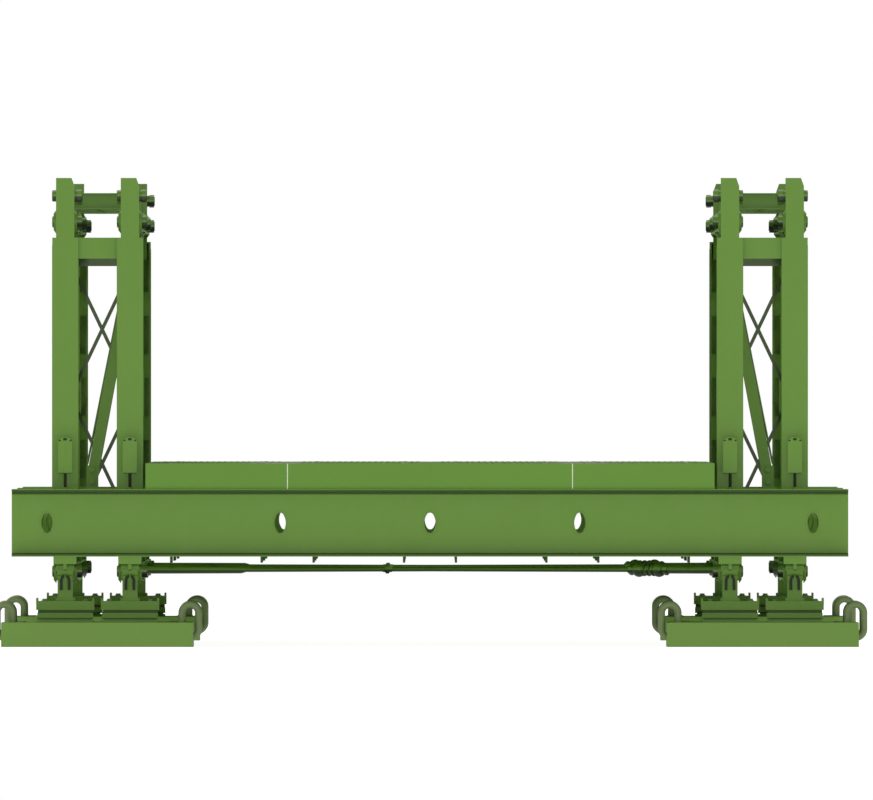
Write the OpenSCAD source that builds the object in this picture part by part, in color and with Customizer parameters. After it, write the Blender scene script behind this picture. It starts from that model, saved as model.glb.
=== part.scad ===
// Panel truss bridge of two bays: double trusses each side, a steel deck on I-beam transoms,
// end posts on rocker bearings and base plates. Millimetres, +Z up, +Y along the roadway.
// The origin is on the ground under the middle of the bridge.

/* [Trusses] */
// Distance between the panel pins along the bridge
panel_pitch = 3048; // [2600:1:3600]
// Height between the lower and the upper panel pins
panel_rise = 2134; // [1800:1:2500]
// Centre line of an inner truss from the middle of the roadway
inner_truss_x = 1831; // [1500:1:2400]
// Distance between the two trusses of one side
truss_gap = 395; // [380:1:560]
// Height of the lower panel pins above the ground
lower_pin_z = 459; // [440:1:560]

/* [Panels] */
// Width of a chord over its two channels
chord_w = 143; // [130:1:180]
// Depth of the chord channels
chord_h = 102; // [90:1:120]
// Gap between the backs of the two channels
chord_slot = 63; // [50:1:72]
// Web and flange thickness of the chord channels
chord_t = 8; // [6:1:12]
// Depth of a web member in the plane of the panel
web_member_d = 76; // [60:1:90]
// Flange and web thickness of a web member
web_member_t = 8; // [6:1:12]
// Distance from a pin to the nearest vertical
end_vertical = 90; // [80:1:100]
// Height of the transom seats on the lower chord
seat_h = 40; // [30:1:60]

/* [Pins] */
// Diameter of a panel pin
pin_d = 70; // [50:1:76]
// Diameter of a pin head
pin_head_d = 80; // [78:1:100]
// Length of a pin head
pin_head_l = 29; // [15:1:35]
// Length of the pin that shows past the outer jaw
pin_tip_l = 7; // [4:1:20]
// Diametral clearance of a pin in its bore
pin_clear = 1; // [0.5:0.1:3]
// Radius of the male lug about its pin
lug_r = 56; // [50:1:62]
// Width of the male lug
lug_w = 112; // [90:1:116]
// Radius of the female jaw about its pin
jaw_r = 72; // [66:1:74]
// Side clearance of a lug between its jaws
jaw_clear = 0.5; // [0.3:0.1:2]
// Length of the jaw plates along the chord from the pin
jaw_l = 260; // [200:1:360]
// Slope on the upper and lower edges of a jaw plate
jaw_bevel = 20; // [8:1:30]

/* [End posts] */
// Width of an end post column
post_w = 158; // [140:1:180]
// Depth of an end post column along the bridge
post_d = 110; // [90:1:130]
// Plate thickness of an end post column
post_t = 12; // [8:1:16]
// Distance from the pin line to the middle of the column
post_offset = 115; // [112:1:150]
// Drop from the upper pin to the top of the column
post_drop = 97; // [90:1:140]
// Rise of the post head over the upper pin
head_rise = 267; // [220:1:340]
// Rise of the head pin over the upper pin
head_pin_rise = 158; // [150:1:180]
// Height of the tie bar between two posts
tie_h = 128; // [80:1:180]
// Depth of the tie bar along the bridge
tie_d = 60; // [40:1:90]
// Thickness of the shelf that carries the end transom
shelf_t = 45; // [30:1:60]
// Width of the shelf that carries the end transom
shelf_w = 140; // [120:1:156]
// Radius of the rounded foot of a post
foot_r = 58; // [50:1:62]
// Width of the rounded foot of a post
foot_w = 100; // [80:1:112]

/* [Bearings] */
// Width of the bearing upright
upright_w = 92; // [80:1:110]
// Width of the bearing base
bearing_w = 354; // [280:1:360]
// Depth of the bearing base along the bridge
bearing_d = 210; // [170:1:300]
// Height of the bearing base
bearing_h = 130; // [110:1:150]
// Bar width of the keeper hoop on a bearing
keeper_bar = 14; // [10:1:18]

/* [Base plates] */
// Width of a base plate across the bridge
plate_w = 1170; // [1050:1:1500]
// Length of a base plate along the bridge
plate_l = 840; // [700:1:1100]
// Height of a base plate
plate_h = 148; // [110:1:180]
// Bar diameter of a lifting ring
ring_bar = 42; // [24:1:46]
// Outer width of a lifting ring
ring_w = 143; // [120:1:170]
// Outer height of a lifting ring
ring_h = 243; // [220:1:280]
// Distance from the end of the plate in to the middle of a ring
ring_inset = 19; // [8:1:30]
// Distance from the front edge of the plate to a ring
ring_edge = 80; // [50:1:140]

/* [Transoms] */
// Depth of a transom
transom_h = 411; // [340:1:500]
// Flange width of a transom
transom_w = 190; // [150:1:200]
// Flange thickness of a transom
flange_t = 15; // [10:1:24]
// Web thickness of a transom
transom_web_t = 10; // [8:1:16]
// Length of a transom past the outer truss
transom_overhang = 325; // [240:1:480]
// Width of an oval web hole
hole_w = 68; // [50:1:90]
// Height of an oval web hole
hole_h = 124; // [100:1:180]
// Distance from the middle to the inner web holes
hole_pitch = 914; // [700:1:1100]
// Distance from the outer truss to the end web holes
hole_out = 110; // [90:1:140]
// Distance from a panel joint to the transoms beside it
transom_inset = 230; // [226:1:320]
// Gap between an end transom and the posts behind it
transom_gap = 9; // [4:1:20]

/* [Deck] */
// Height of the deck units
deck_h = 158; // [120:1:200]
// Gap between the deck and the end posts
deck_side_gap = 17; // [10:1:40]
// Gap between neighbouring deck units
deck_gap = 6; // [3:1:12]
// Thickness of the deck plate
deck_t = 12; // [8:1:16]
// Thickness of the deck ribs
rib_t = 9; // [6:1:14]
// Diameter of the hook bolts that hold the deck
hook_d = 14; // [10:1:18]
// Distance of the hook bolts from the middle of a deck unit
hook_x = 276; // [220:1:340]
// Depth of the hook bolts below the transom
hook_drop = 38; // [30:1:50]

/* [Bracing] */
// Width of a raker across its face
raker_w = 68; // [50:1:80]
// Depth of a raker along the bridge
raker_d = 50; // [36:1:60]
// Distance from the outer truss in to the foot of a raker
raker_foot_x = 137; // [130:1:150]
// Height of the post at the foot of a raker
raker_foot_h = 138; // [110:1:170]
// Distance from the inner truss out to the top of a raker
raker_top_x = 48; // [40:1:70]
// Drop from the upper pin to the top of a raker
raker_drop = 426; // [360:1:520]
// Distance from the pins to the end bars of a bracing frame
frame_inset = 235; // [200:1:300]
// Width of the bars of a bracing frame
lace_w = 22; // [14:1:36]
// Thickness of the bars of a bracing frame
lace_t = 10; // [6:1:12]
// Width of the uprights of a bracing frame
frame_leg_w = 60; // [40:1:62]
// Height of the packing rails under a top frame
rail_h = 27; // [16:1:40]
// Height of the cross bars of a top frame
top_bar_h = 98; // [60:1:120]
// Flange width of the cross bars of a top frame
top_bar_d = 45; // [30:1:60]
// Diameter of the thin stretch of a sway brace
rod_d = 28; // [20:1:34]
// Diameter of the thick stretches of a sway brace
sleeve_d = 45; // [36:1:56]
// Diameter of the balls on a turnbuckle
turnbuckle_d = 88; // [70:1:94]
// Distance from a pin to the end of a sway brace
sway_inset = 350; // [300:1:500]

/* [Clamps] */
// Width of a transom clamp body
clamp_w = 86; // [70:1:110]
// Height of a transom clamp body
clamp_h = 218; // [160:1:260]
// Depth of a transom clamp body
clamp_d = 46; // [36:1:60]
// Diameter of a clamp screw
screw_d = 16; // [12:1:28]
// Free length of a clamp screw over the transom
screw_l = 100; // [70:1:140]

/* [Hidden] */

FRONT = -1;
BACK = 1;
LEFT = -1;
RIGHT = 1;
paint = "#688c42";
paint_dark = "#4c6632";
steel = "#5a5f52";
far = 4000;
// Overlap that joins two pieces of one solid
fuse = 1;

outer_truss_x = inner_truss_x + truss_gap;
side_x = (inner_truss_x + outer_truss_x) / 2;
upper_pin_z = lower_pin_z + panel_rise;
column_top_z = upper_pin_z - post_drop;
transom_z = lower_pin_z + chord_h / 2 + seat_h;
transom_top_z = transom_z + transom_h;
deck_top_z = transom_top_z + deck_h;
transom_half = outer_truss_x + transom_overhang;
post_y = panel_pitch + post_offset;
post_face_y = post_y + post_d / 2;
end_transom_y = post_face_y + transom_gap + transom_w / 2;
bearing_top_z = plate_h + bearing_h;
foot_z = lower_pin_z;
deck_half = inner_truss_x - post_w / 2 - deck_side_gap;
deck_unit_w = (2 * deck_half - 3 * deck_gap) / 4;
deck_setback = 12;
deck_end_y = end_transom_y + transom_w / 2 - deck_setback;
slot_w = lug_w + 2 * jaw_clear;
web_w = chord_slot + fuse;

// Radius of the end arcs of an upright oval w wide and h high.
function oval_end(w, h) = 0.6 * w * w / h;

// Radius of the side arcs of an upright oval, which its end arcs of radius r touch from inside.
function oval_side(w, h, r) = (w * w / 4 + (h / 2 - r) * (h / 2 - r) - r * r) / (w - 2 * r);

// Angle above the level at which a side arc of that oval meets an end arc.
function oval_lean(w, h, r) = atan2(h / 2 - r, oval_side(w, h, r) - w / 2);

// Outline of an I-section: w across the flanges, d deep, flange tf and web tw thick.
function i_section(w, d, tf, tw) = [
    [-w / 2, -d / 2], [w / 2, -d / 2], [w / 2, -d / 2 + tf], [tw / 2, -d / 2 + tf],
    [tw / 2, d / 2 - tf], [w / 2, d / 2 - tf], [w / 2, d / 2], [-w / 2, d / 2],
    [-w / 2, d / 2 - tf], [-tw / 2, d / 2 - tf], [-tw / 2, -d / 2 + tf], [-w / 2, -d / 2 + tf]];

// Outline of a channel with its back on x = 0 and its flanges towards +x.
function channel_section(w, d, t) = [
    [0, -d / 2], [w, -d / 2], [w, -d / 2 + t], [t, -d / 2 + t],
    [t, d / 2 - t], [w, d / 2 - t], [w, d / 2], [0, d / 2]];

// Box from its lowest to its highest corner.
module block(low, high) {
    translate(low) cube(high - low);
}

// Round bar along X, centred.
module bar_x(d, l) {
    rotate([0, 90, 0]) cylinder(d = d, h = l, center = true, $fn = 48);
}

// Extrudes an X-Z outline along Y from y0 to y1.
module along_y(y0, y1) {
    translate([0, y1, 0]) rotate([90, 0, 0]) linear_extrude(height = y1 - y0) children();
}

// Outline of a straight flat bar between two points, w wide.
module flat_bar(from, to, w) {
    run = to - from;
    translate(from) rotate(-atan2(run.x, run.y))
        translate([-w / 2, 0]) square([w, norm(run)]);
}

// Upright rectangle from its lowest to its highest corner.
module panel_outline(low, high) {
    translate(low) square(high - low);
}

// Web member of a panel between two points given as [y, z].
module web_member(from, to) {
    run = to - from;
    translate([0, from.x, from.y])
        rotate([-atan2(run.x, run.y), 0, 0])
        linear_extrude(height = norm(run))
        polygon(i_section(web_w, web_member_d, web_member_t, web_member_t));
}

// Rounded tongue at a pin: the pin is at the origin and the tongue runs towards +y.
module tongue(r, w, l) {
    bar_x(2 * r, w);
    block([-w / 2, 0, -r], [w / 2, l, r]);
}

// Pair of jaw plates at a pin, running towards +y.
module jaws(l) {
    edge = slot_w / 2;
    difference() {
        intersection() {
            tongue(jaw_r, chord_w, l);
            along_y(-jaw_r - fuse, l + fuse) polygon([
                [edge, -jaw_r], [chord_w / 2, jaw_bevel - jaw_r], [chord_w / 2, jaw_r - jaw_bevel],
                [edge, jaw_r], [-edge, jaw_r], [-chord_w / 2, jaw_r - jaw_bevel],
                [-chord_w / 2, jaw_bevel - jaw_r], [-edge, -jaw_r]]);
        }
        block([-edge, -jaw_r - fuse, -jaw_r - fuse], [edge, l + fuse, jaw_r + fuse]);
    }
}

// One chord of a panel, with jaws at its front end and a lug at its back end.
module chord() {
    pin_y = panel_pitch / 2;
    stop = jaw_r + 3;
    lug_root = 60;
    diaphragm = 45;
    inside = chord_h / 2 - fuse;
    for (side = [0, 1]) mirror([side, 0, 0])
        along_y(-pin_y + stop, pin_y - stop)
        translate([chord_slot / 2, 0])
        polygon(channel_section((chord_w - chord_slot) / 2, chord_h, chord_t));
    translate([0, -pin_y, 0]) jaws(jaw_l);
    translate([0, pin_y, 0]) mirror([0, 1, 0]) tongue(lug_r, lug_w, stop + fuse);
    block([-lug_w / 2, pin_y - stop - lug_root, -inside], [lug_w / 2, pin_y - stop, inside]);
    for (side = [0, 1]) mirror([0, side, 0])
        block([-chord_w / 2, pin_y - stop - diaphragm, -inside], [chord_w / 2, pin_y - stop, inside]);
}

// A truss panel. Its middle is at y = 0 and its lower pins are at z = 0.
module panel() {
    half = panel_pitch / 2;
    edge = half - end_vertical;
    quarter = edge / 2;
    mid = panel_rise / 2;
    reach = chord_h / 2 - 2;
    seat_half = 55;
    difference() {
        union() {
            chord();
            translate([0, 0, panel_rise]) chord();
            for (y = [-edge, -quarter, 0, quarter, edge])
                web_member([y, -reach], [y, panel_rise + reach]);
            for (end = [FRONT, BACK], z = [0, panel_rise], y = [0, edge])
                web_member([end * quarter, z], [end * y, mid]);
            for (end = [FRONT, BACK])
                translate([0, end * (half - transom_inset), chord_h / 2])
                block([-chord_w / 2, -seat_half, -fuse], [chord_w / 2, seat_half, seat_h]);
        }
        for (end = [FRONT, BACK], z = [0, panel_rise])
            translate([0, end * half, z]) bar_x(pin_d + pin_clear, 2 * chord_w);
        for (z = [0, panel_rise])
            translate([0, -half, z]) bar_x(2 * (lug_r + jaw_clear), slot_w);
    }
}

module placed_panel(x, end) {
    color(paint) translate([x, end * panel_pitch / 2, lower_pin_z]) panel();
}

// Sloping shoulder on the +x side of every post head.
module head_chamfer() {
    drop = 50;
    cut = 18;
    along_y(-post_d, post_d) polygon([
        [lug_w / 2 - cut, fuse], [lug_w / 2 - cut, 0], [lug_w / 2, -drop], [lug_w / 2 + fuse, -drop],
        [lug_w / 2 + fuse, fuse]]);
}

// Column of a post: a channel with its web to the outside, closed by battens.
// The column's middle is at y = 0 and its outer face towards -y.
module post_column() {
    low = transom_z;
    high = column_top_z;
    w = post_w / 2;
    d = post_d / 2;
    batten_t = 8;
    batten_half = 75;
    battens = 4;
    block([-w, -d, low], [w, -d + post_t, high]);
    for (side = [0, 1]) mirror([side, 0, 0])
        block([w - post_t, -d, low], [w, d, high]);
    block([-w, -d, high - post_t], [w, d, high]);
    block([-w, -d, low], [w, d, low + post_t]);
    span = high - low;
    for (k = [1 : battens])
        translate([0, 0, low + k * span / (battens + 1)])
        block([-w, d - batten_t, -batten_half], [w, d, batten_half]);
}

// End post about its truss line, with its outer face towards -y and its pins at y = post_offset.
// Male posts have a tongue at each pin and female posts have a pair of jaws.
module end_post(male) {
    d = post_d / 2;
    shelf_back = 10;
    shelf_end = -(d + transom_gap + transom_w - shelf_back);
    jaw_end = post_offset - jaw_r - 5;
    head_root = 110;
    rib_half = 10;
    rib_set = 30;
    rib_drop = 32;
    jaw_root = 30;
    jaw_low = jaw_r - jaw_bevel;
    difference() {
        union() {
            post_column();
            block([-lug_w / 2, -d, column_top_z - head_root], [lug_w / 2, d, upper_pin_z + head_rise]);
            block([-lug_w / 2, -d, foot_z], [lug_w / 2, d, transom_z + fuse]);
            translate([0, 0, foot_z]) bar_x(2 * foot_r, foot_w);
            block([-shelf_w / 2, shelf_end, transom_z - shelf_t], [shelf_w / 2, jaw_end, transom_z]);
            block([-rib_half, shelf_end + rib_set, transom_z - shelf_t - rib_drop],
                [rib_half, -d + fuse, transom_z - shelf_t + fuse]);
            for (z = [lower_pin_z, upper_pin_z])
                translate([0, post_offset, z]) mirror([0, 1, 0]) {
                    if (male) tongue(lug_r, lug_w, post_offset - d + fuse);
                    if (!male) jaws(post_offset - d + jaw_root);
                }
            if (!male)
                for (z = [lower_pin_z, upper_pin_z], side = [0, 1]) mirror([side, 0, 0])
                    block([lug_w / 2 - fuse, d - jaw_root - fuse, z - jaw_low],
                        [slot_w / 2 + fuse, d, z + jaw_low]);
        }
        for (z = [lower_pin_z, upper_pin_z])
            translate([0, post_offset, z]) bar_x(pin_d + pin_clear, 2 * post_w);
        translate([0, 0, upper_pin_z + head_pin_rise]) bar_x(pin_d + pin_clear, 2 * post_w);
        translate([0, 0, upper_pin_z + head_rise]) head_chamfer();
    }
}

module end_posts(end, side) {
    color(paint) for (x = [inner_truss_x, outer_truss_x])
        translate([side * x, end * post_y, 0])
        rotate([0, 0, end == BACK ? 180 : 0]) end_post(end == FRONT);
}

// Tie bar between the two posts of a side: a channel flush with the tops of the columns.
module post_tie() {
    half = truss_gap / 2 - post_w / 2;
    tie_t = 10;
    rotate([0, 0, 90]) along_y(-half, half)
        translate([-tie_d / 2, column_top_z - tie_h / 2])
        polygon(channel_section(tie_d, tie_h, tie_t));
}

module post_ties(side) {
    color(paint) for (end = [FRONT, BACK])
        translate([side * side_x, end * post_y, 0])
        rotate([0, 0, end == BACK ? 180 : 0]) post_tie();
}

// Keeper hoop on the outer face of a bearing, in the X-Z plane, its bar towards -y.
module keeper() {
    r_out = 31;
    rise = 69;
    rotate([90, 0, 0]) linear_extrude(height = keeper_bar) difference() {
        union() {
            translate([0, rise]) circle(r = r_out, $fn = 48);
            translate([-r_out, 0]) square([2 * r_out, rise]);
        }
        translate([0, rise]) circle(r = r_out - keeper_bar, $fn = 48);
        translate([keeper_bar - r_out, -fuse]) square([2 * (r_out - keeper_bar), rise + fuse]);
    }
}

// Rocker bearing about its truss line, with its outer face towards -y.
module bearing() {
    lip = 19;
    lip_t = 12;
    saddle_gap = 2;
    saddle_r = foot_r + saddle_gap;
    upright_top = foot_z - 28;
    upright_front = foot_r + 2;
    upright_back = post_offset - lug_r - 9;
    hub_set = 12;
    hub_h = 18;
    step_1 = 58;
    step_2 = 77;
    set_1 = 7;
    set_2 = 14;
    groove = [15, 27];
    groove_cut = 19;
    hoop_drop = 92;
    w = bearing_w / 2;
    d = bearing_d / 2;
    difference() {
        union() {
            block([-w + set_1, -d + set_1, plate_h], [w - set_1, d - set_1, plate_h + step_1]);
            block([-w + set_2, -d + set_2, plate_h + step_1 - fuse],
                [w - set_2, d - set_2, plate_h + step_2]);
            block([-w, -d, plate_h + step_2 - fuse], [w, d, bearing_top_z]);
            for (side = [0, 1]) mirror([side, 0, 0])
                block([w - lip_t, -d, bearing_top_z - fuse], [w, d, bearing_top_z + lip]);
            block([-upright_w / 2, -upright_front, bearing_top_z - fuse],
                [upright_w / 2, upright_back, upright_top]);
            block([-upright_w / 2 - hub_set, -upright_front - hub_set, bearing_top_z - fuse],
                [upright_w / 2 + hub_set, upright_back + hub_set, bearing_top_z + hub_h]);
            translate([0, -upright_front + fuse, upright_top - hoop_drop]) keeper();
        }
        translate([0, 0, foot_z + saddle_gap]) bar_x(2 * saddle_r, far);
        for (side = [0, 1]) mirror([side, 0, 0])
            block([w - groove_cut, -d - fuse, plate_h + groove[0]],
                [w + fuse, d + fuse, plate_h + groove[1]]);
        for (side = [0, 1]) mirror([0, side, 0])
            block([-w - fuse, d - groove_cut, plate_h + groove[0]],
                [w + fuse, d + fuse, plate_h + groove[1]]);
    }
}

module bearings(end, side) {
    color(paint) for (x = [inner_truss_x, outer_truss_x])
        translate([side * x, end * post_y, 0])
        rotate([0, 0, end == BACK ? 180 : 0]) bearing();
}

module base_plate(end, side) {
    color(paint) translate([side * side_x, end * post_y, 0])
        block([-plate_w / 2, -plate_l / 2, 0], [plate_w / 2, plate_l / 2, plate_h]);
}

// Oval ring in the X-Z plane, centred.
module oval_ring() {
    bend = (ring_w - ring_bar) / 2;
    straight = ring_h - ring_w;
    for (side = [0, 1]) {
        mirror([side, 0, 0])
            translate([bend, 0, 0]) cylinder(d = ring_bar, h = straight, center = true, $fn = 32);
        mirror([0, 0, side])
            translate([0, 0, straight / 2]) rotate([90, 0, 0])
            rotate_extrude(angle = 180, $fn = 64) translate([bend, 0]) circle(d = ring_bar, $fn = 32);
    }
}

// Lifting ring let into the end of a base plate and welded to its top and its end.
module lifting_rings(end, side) {
    ring_x = plate_w / 2 - ring_inset;
    ring_y = plate_l / 2 - ring_edge;
    ring_rise = 10;
    color(paint_dark) translate([side * side_x, end * post_y, 0])
        for (x = [-1, 1], y = [-1, 1])
            difference() {
                translate([x * ring_x, y * ring_y, plate_h + ring_rise]) oval_ring();
                block([-plate_w / 2, -plate_l / 2, -fuse], [plate_w / 2, plate_l / 2, plate_h]);
            }
}

// Upright oval hole made of four arcs that run into each other.
module oval_hole() {
    end_r = oval_end(hole_w, hole_h);
    side_r = oval_side(hole_w, hole_h, end_r);
    meet = hole_h / 2 - end_r + end_r * sin(oval_lean(hole_w, hole_h, end_r));
    for (side = [-1, 1]) translate([0, side * (hole_h / 2 - end_r)]) circle(r = end_r, $fn = 48);
    intersection() {
        translate([hole_w / 2 - side_r, 0]) circle(r = side_r, $fn = 120);
        translate([side_r - hole_w / 2, 0]) circle(r = side_r, $fn = 120);
        square([hole_w, 2 * meet], center = true);
    }
}

// I-beam across the bridge with its middle at y.
module transom(y) {
    hole_out_x = outer_truss_x + hole_out;
    color(paint) translate([0, y, transom_z + transom_h / 2])
        difference() {
            rotate([90, 0, 90]) linear_extrude(height = 2 * transom_half, center = true)
                polygon(i_section(transom_w, transom_h, flange_t, transom_web_t));
            for (x = [-hole_out_x, -hole_pitch, 0, hole_pitch, hole_out_x])
                translate([x, transom_w / 2, 0]) rotate([90, 0, 0])
                linear_extrude(height = transom_w) oval_hole();
        }
}

// Deck unit between y0 and y1 with its middle at x = 0 and its underside at z = 0.
module deck_unit(y0, y1) {
    w = deck_unit_w / 2;
    rib_rise = 12;
    cross_rise = 40;
    crosses = 3;
    block([-w, y0, deck_h - deck_t], [w, y1, deck_h]);
    for (side = [0, 1]) mirror([side, 0, 0]) {
        block([w - rib_t, y0, 0], [w, y1, deck_h]);
        block([w / 3 - rib_t / 2, y0, rib_rise], [w / 3 + rib_t / 2, y1, deck_h]);
    }
    for (y = [y0, y1 - rib_t]) block([-w, y, 0], [w, y + rib_t, deck_h]);
    for (k = [1 : crosses])
        translate([0, y0 + k * (y1 - y0) / (crosses + 1), 0])
        block([-w, -rib_t / 2, cross_rise], [w, rib_t / 2, deck_h]);
}

module deck_units(end) {
    pitch = deck_unit_w + deck_gap;
    near = deck_gap / 2;
    color(paint) for (k = [-1.5, -0.5, 0.5, 1.5])
        translate([k * pitch, 0, transom_top_z])
        if (end == FRONT) deck_unit(-deck_end_y, -near);
        else deck_unit(near, deck_end_y);
}

// Raker from the top of a transom to the inner truss, for the left side of the front bay.
module raker() {
    foot_x = -(outer_truss_x - raker_foot_x);
    top_x = -(inner_truss_x + raker_top_x);
    top_z = upper_pin_z - raker_drop;
    face_y = -(end_vertical + web_member_d / 2);
    near_y = face_y - 5;
    far_y = near_y - raker_d;
    foot_half = 35;
    gusset_x = [30, 46];
    gusset_z = [78, 96, 130, 180];
    knee_z = transom_top_z + raker_foot_h / 2;
    bolt_z = top_z - 45;
    bolt_x = foot_x + (top_x - foot_x) * (bolt_z - knee_z) / (top_z - knee_z);
    bracket_half = 30;
    bracket_reach = 20;
    bracket_lap = 12;
    along_y(far_y, near_y) {
        panel_outline([foot_x - foot_half, transom_top_z], [foot_x + foot_half, transom_top_z + raker_foot_h]);
        flat_bar([foot_x, knee_z], [top_x, top_z], raker_w);
        translate([foot_x, transom_top_z]) polygon([[gusset_x[0], gusset_z[0]], [gusset_x[1], gusset_z[1]],
            [gusset_x[1], gusset_z[2]], [gusset_x[0], gusset_z[3]]]);
    }
    block([bolt_x - bracket_reach, near_y - bracket_lap, bolt_z - bracket_half],
        [-inner_truss_x + bracket_lap, face_y, bolt_z + bracket_half]);
}

module rakers(side) {
    color(paint) for (end = [FRONT, BACK])
        mirror([side == RIGHT ? 1 : 0, 0, 0]) mirror([0, end == BACK ? 1 : 0, 0]) raker();
}

// Upright bracing frame between the trusses of one side, on the verticals at the middle joint.
module bracing_frame(side) {
    half = truss_gap / 2;
    low = lower_pin_z + frame_inset;
    high = upper_pin_z - frame_inset;
    mid = (low + high) / 2;
    face_y = -(end_vertical - web_member_d / 2);
    leg = frame_leg_w / 2;
    leg_past = 40;
    bar_half = 25;
    color(paint_dark) translate([side * side_x, face_y, 0]) along_y(0, lace_t) {
        for (x = [-half, half])
            panel_outline([x - leg, low - leg_past], [x + leg, high + leg_past]);
        for (z = [low, high])
            panel_outline([-half, z - bar_half], [half, z + bar_half]);
        for (z = [[low, mid], [mid, high]], s = [-1, 1])
            flat_bar([-s * half, z[0]], [s * half, z[1]], lace_w);
    }
}

// Frame lying on the upper chords of one side of one bay. Its front end is at y = y0.
module top_frame(y0, y1) {
    half = truss_gap / 2;
    rail_z = upper_pin_z + chord_h / 2;
    bar_z = rail_z + rail_h;
    leg = frame_leg_w / 2;
    bar_t = 8;
    flat_w = 30;
    bars = [y0, (y0 + y1 - top_bar_d) / 2, y1 - top_bar_d];
    for (x = [-half, half])
        block([x - leg, y0, rail_z], [x + leg, y1, bar_z]);
    for (y = bars)
        translate([0, y + top_bar_d, bar_z + top_bar_h / 2]) rotate([0, 0, -90])
        along_y(-half - leg, half + leg) polygon(channel_section(top_bar_d, top_bar_h, bar_t));
    translate([0, 0, bar_z - fuse]) linear_extrude(height = bar_t + fuse) for (k = [0, 1], s = [-1, 1])
        flat_bar([-s * half, bars[k] + top_bar_d / 2], [s * half, bars[k + 1] + top_bar_d / 2], flat_w);
}

module top_frames(side) {
    clear = jaw_l / 2;
    color(paint) translate([side * side_x, 0, 0]) {
        top_frame(-panel_pitch + end_vertical, -clear);
        top_frame(clear, panel_pitch - end_vertical);
    }
}

// Tie rod from lower chord to lower chord over run_x and run_y each side of its middle.
// Its stretches are placed by their reach across the bridge.
module sway_rod(run_x, run_y) {
    stretch = norm([run_x, run_y]) / run_x;
    rod_end = run_x - 9;
    sleeve = [14, 599];
    hinge_x = -262;
    hinge_d = 60;
    hinge_h = 34;
    knobs = [1281, 1403];
    barrel_past = 46;
    nut_d = turnbuckle_d * 0.62;
    barrel_d = turnbuckle_d * 0.75;
    module stretch_of_rod(x0, x1, d) {
        translate([x0 * stretch, 0, 0]) rotate([0, 90, 0])
            cylinder(d = d, h = (x1 - x0) * stretch, $fn = 32);
    }
    translate([0, 0, lower_pin_z + 6]) rotate([0, 0, atan2(run_y, run_x)]) {
        stretch_of_rod(-rod_end, rod_end, rod_d);
        stretch_of_rod(sleeve[0] - run_x, sleeve[1] - run_x, sleeve_d);
        stretch_of_rod(knobs[1], rod_end, sleeve_d);
        stretch_of_rod(knobs[0] - barrel_past, knobs[1] + barrel_past, nut_d);
        stretch_of_rod(knobs[0], knobs[1], barrel_d);
        for (x = knobs)
            translate([x * stretch, 0, 0]) sphere(d = turnbuckle_d, $fn = 32);
        translate([hinge_x * stretch, 0, 0]) cylinder(d = hinge_d, h = hinge_h, center = true, $fn = 32);
    }
}

// Pair of crossed tie rods at the lower chords of one bay, fused where they cross.
module sway_brace(end) {
    face = inner_truss_x - chord_w / 2;
    run_y = panel_pitch / 2 - sway_inset;
    lug_t = 12;
    lug_half = 60;
    color(paint_dark) translate([0, end * panel_pitch / 2, 0]) {
        sway_rod(face, run_y);
        sway_rod(face, -run_y);
        for (x = [-1, 1], y = [-1, 1])
            translate([x * (face - lug_t / 2), y * run_y, lower_pin_z])
            block([-lug_t / 2, -lug_half, -chord_h / 2], [lug_t / 2, lug_half, chord_h / 2]);
    }
}

// Panel pin with its head towards +x. The chord or post is half wide each side.
module pin(half) {
    translate([-half - pin_tip_l, 0, 0]) rotate([0, 90, 0])
        cylinder(d = pin_d, h = 2 * half + pin_tip_l, $fn = 48);
    translate([half, 0, 0]) rotate([0, 90, 0]) cylinder(d = pin_head_d, h = pin_head_l, $fn = 48);
}

module panel_pins() {
    head_pin_past = 15;
    color(steel) for (side = [0, 1], x = [inner_truss_x, outer_truss_x]) mirror([side, 0, 0])
        translate([-x, 0, 0]) {
            for (y = [-panel_pitch, 0, panel_pitch], z = [lower_pin_z, upper_pin_z])
                translate([0, y, z]) pin(chord_w / 2);
            for (end = [FRONT, BACK])
                translate([0, end * post_y, upper_pin_z + head_pin_rise]) pin(lug_w / 2 + head_pin_past);
        }
}

// Screw clamp over a transom. It hangs on a face at y = 0 and its screw is reach in front of it.
module clamp(reach) {
    top = screw_l + clamp_h;
    w = clamp_w / 2;
    arc_rise = 24;
    arc_r = (w * w + arc_rise * arc_rise) / (2 * arc_rise);
    pad_d = 1.7 * screw_d;
    pad_h = 12;
    intersection() {
        block([-w, -reach - clamp_d / 2, screw_l], [w, 0, top]);
        union() {
            translate([0, 0, top - arc_r]) rotate([90, 0, 0])
                cylinder(r = arc_r, h = far, center = true, $fn = 96);
            block([-clamp_w, -far / 2, 0], [clamp_w, far / 2, top - arc_r]);
        }
    }
    translate([0, -reach, 0]) cylinder(d = screw_d, h = screw_l + fuse, $fn = 32);
    translate([0, -reach, 0]) cylinder(d = pad_d, h = pad_h, $fn = 32);
}

module transom_clamps() {
    screw_reach = transom_gap + 38;
    color(paint) for (side = [-1, 1], x = [inner_truss_x, outer_truss_x], end = [FRONT, BACK])
        translate([side * x, 0, transom_top_z]) mirror([0, end == BACK ? 1 : 0, 0])
            translate([0, -post_face_y, 0]) clamp(screw_reach);
}

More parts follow.
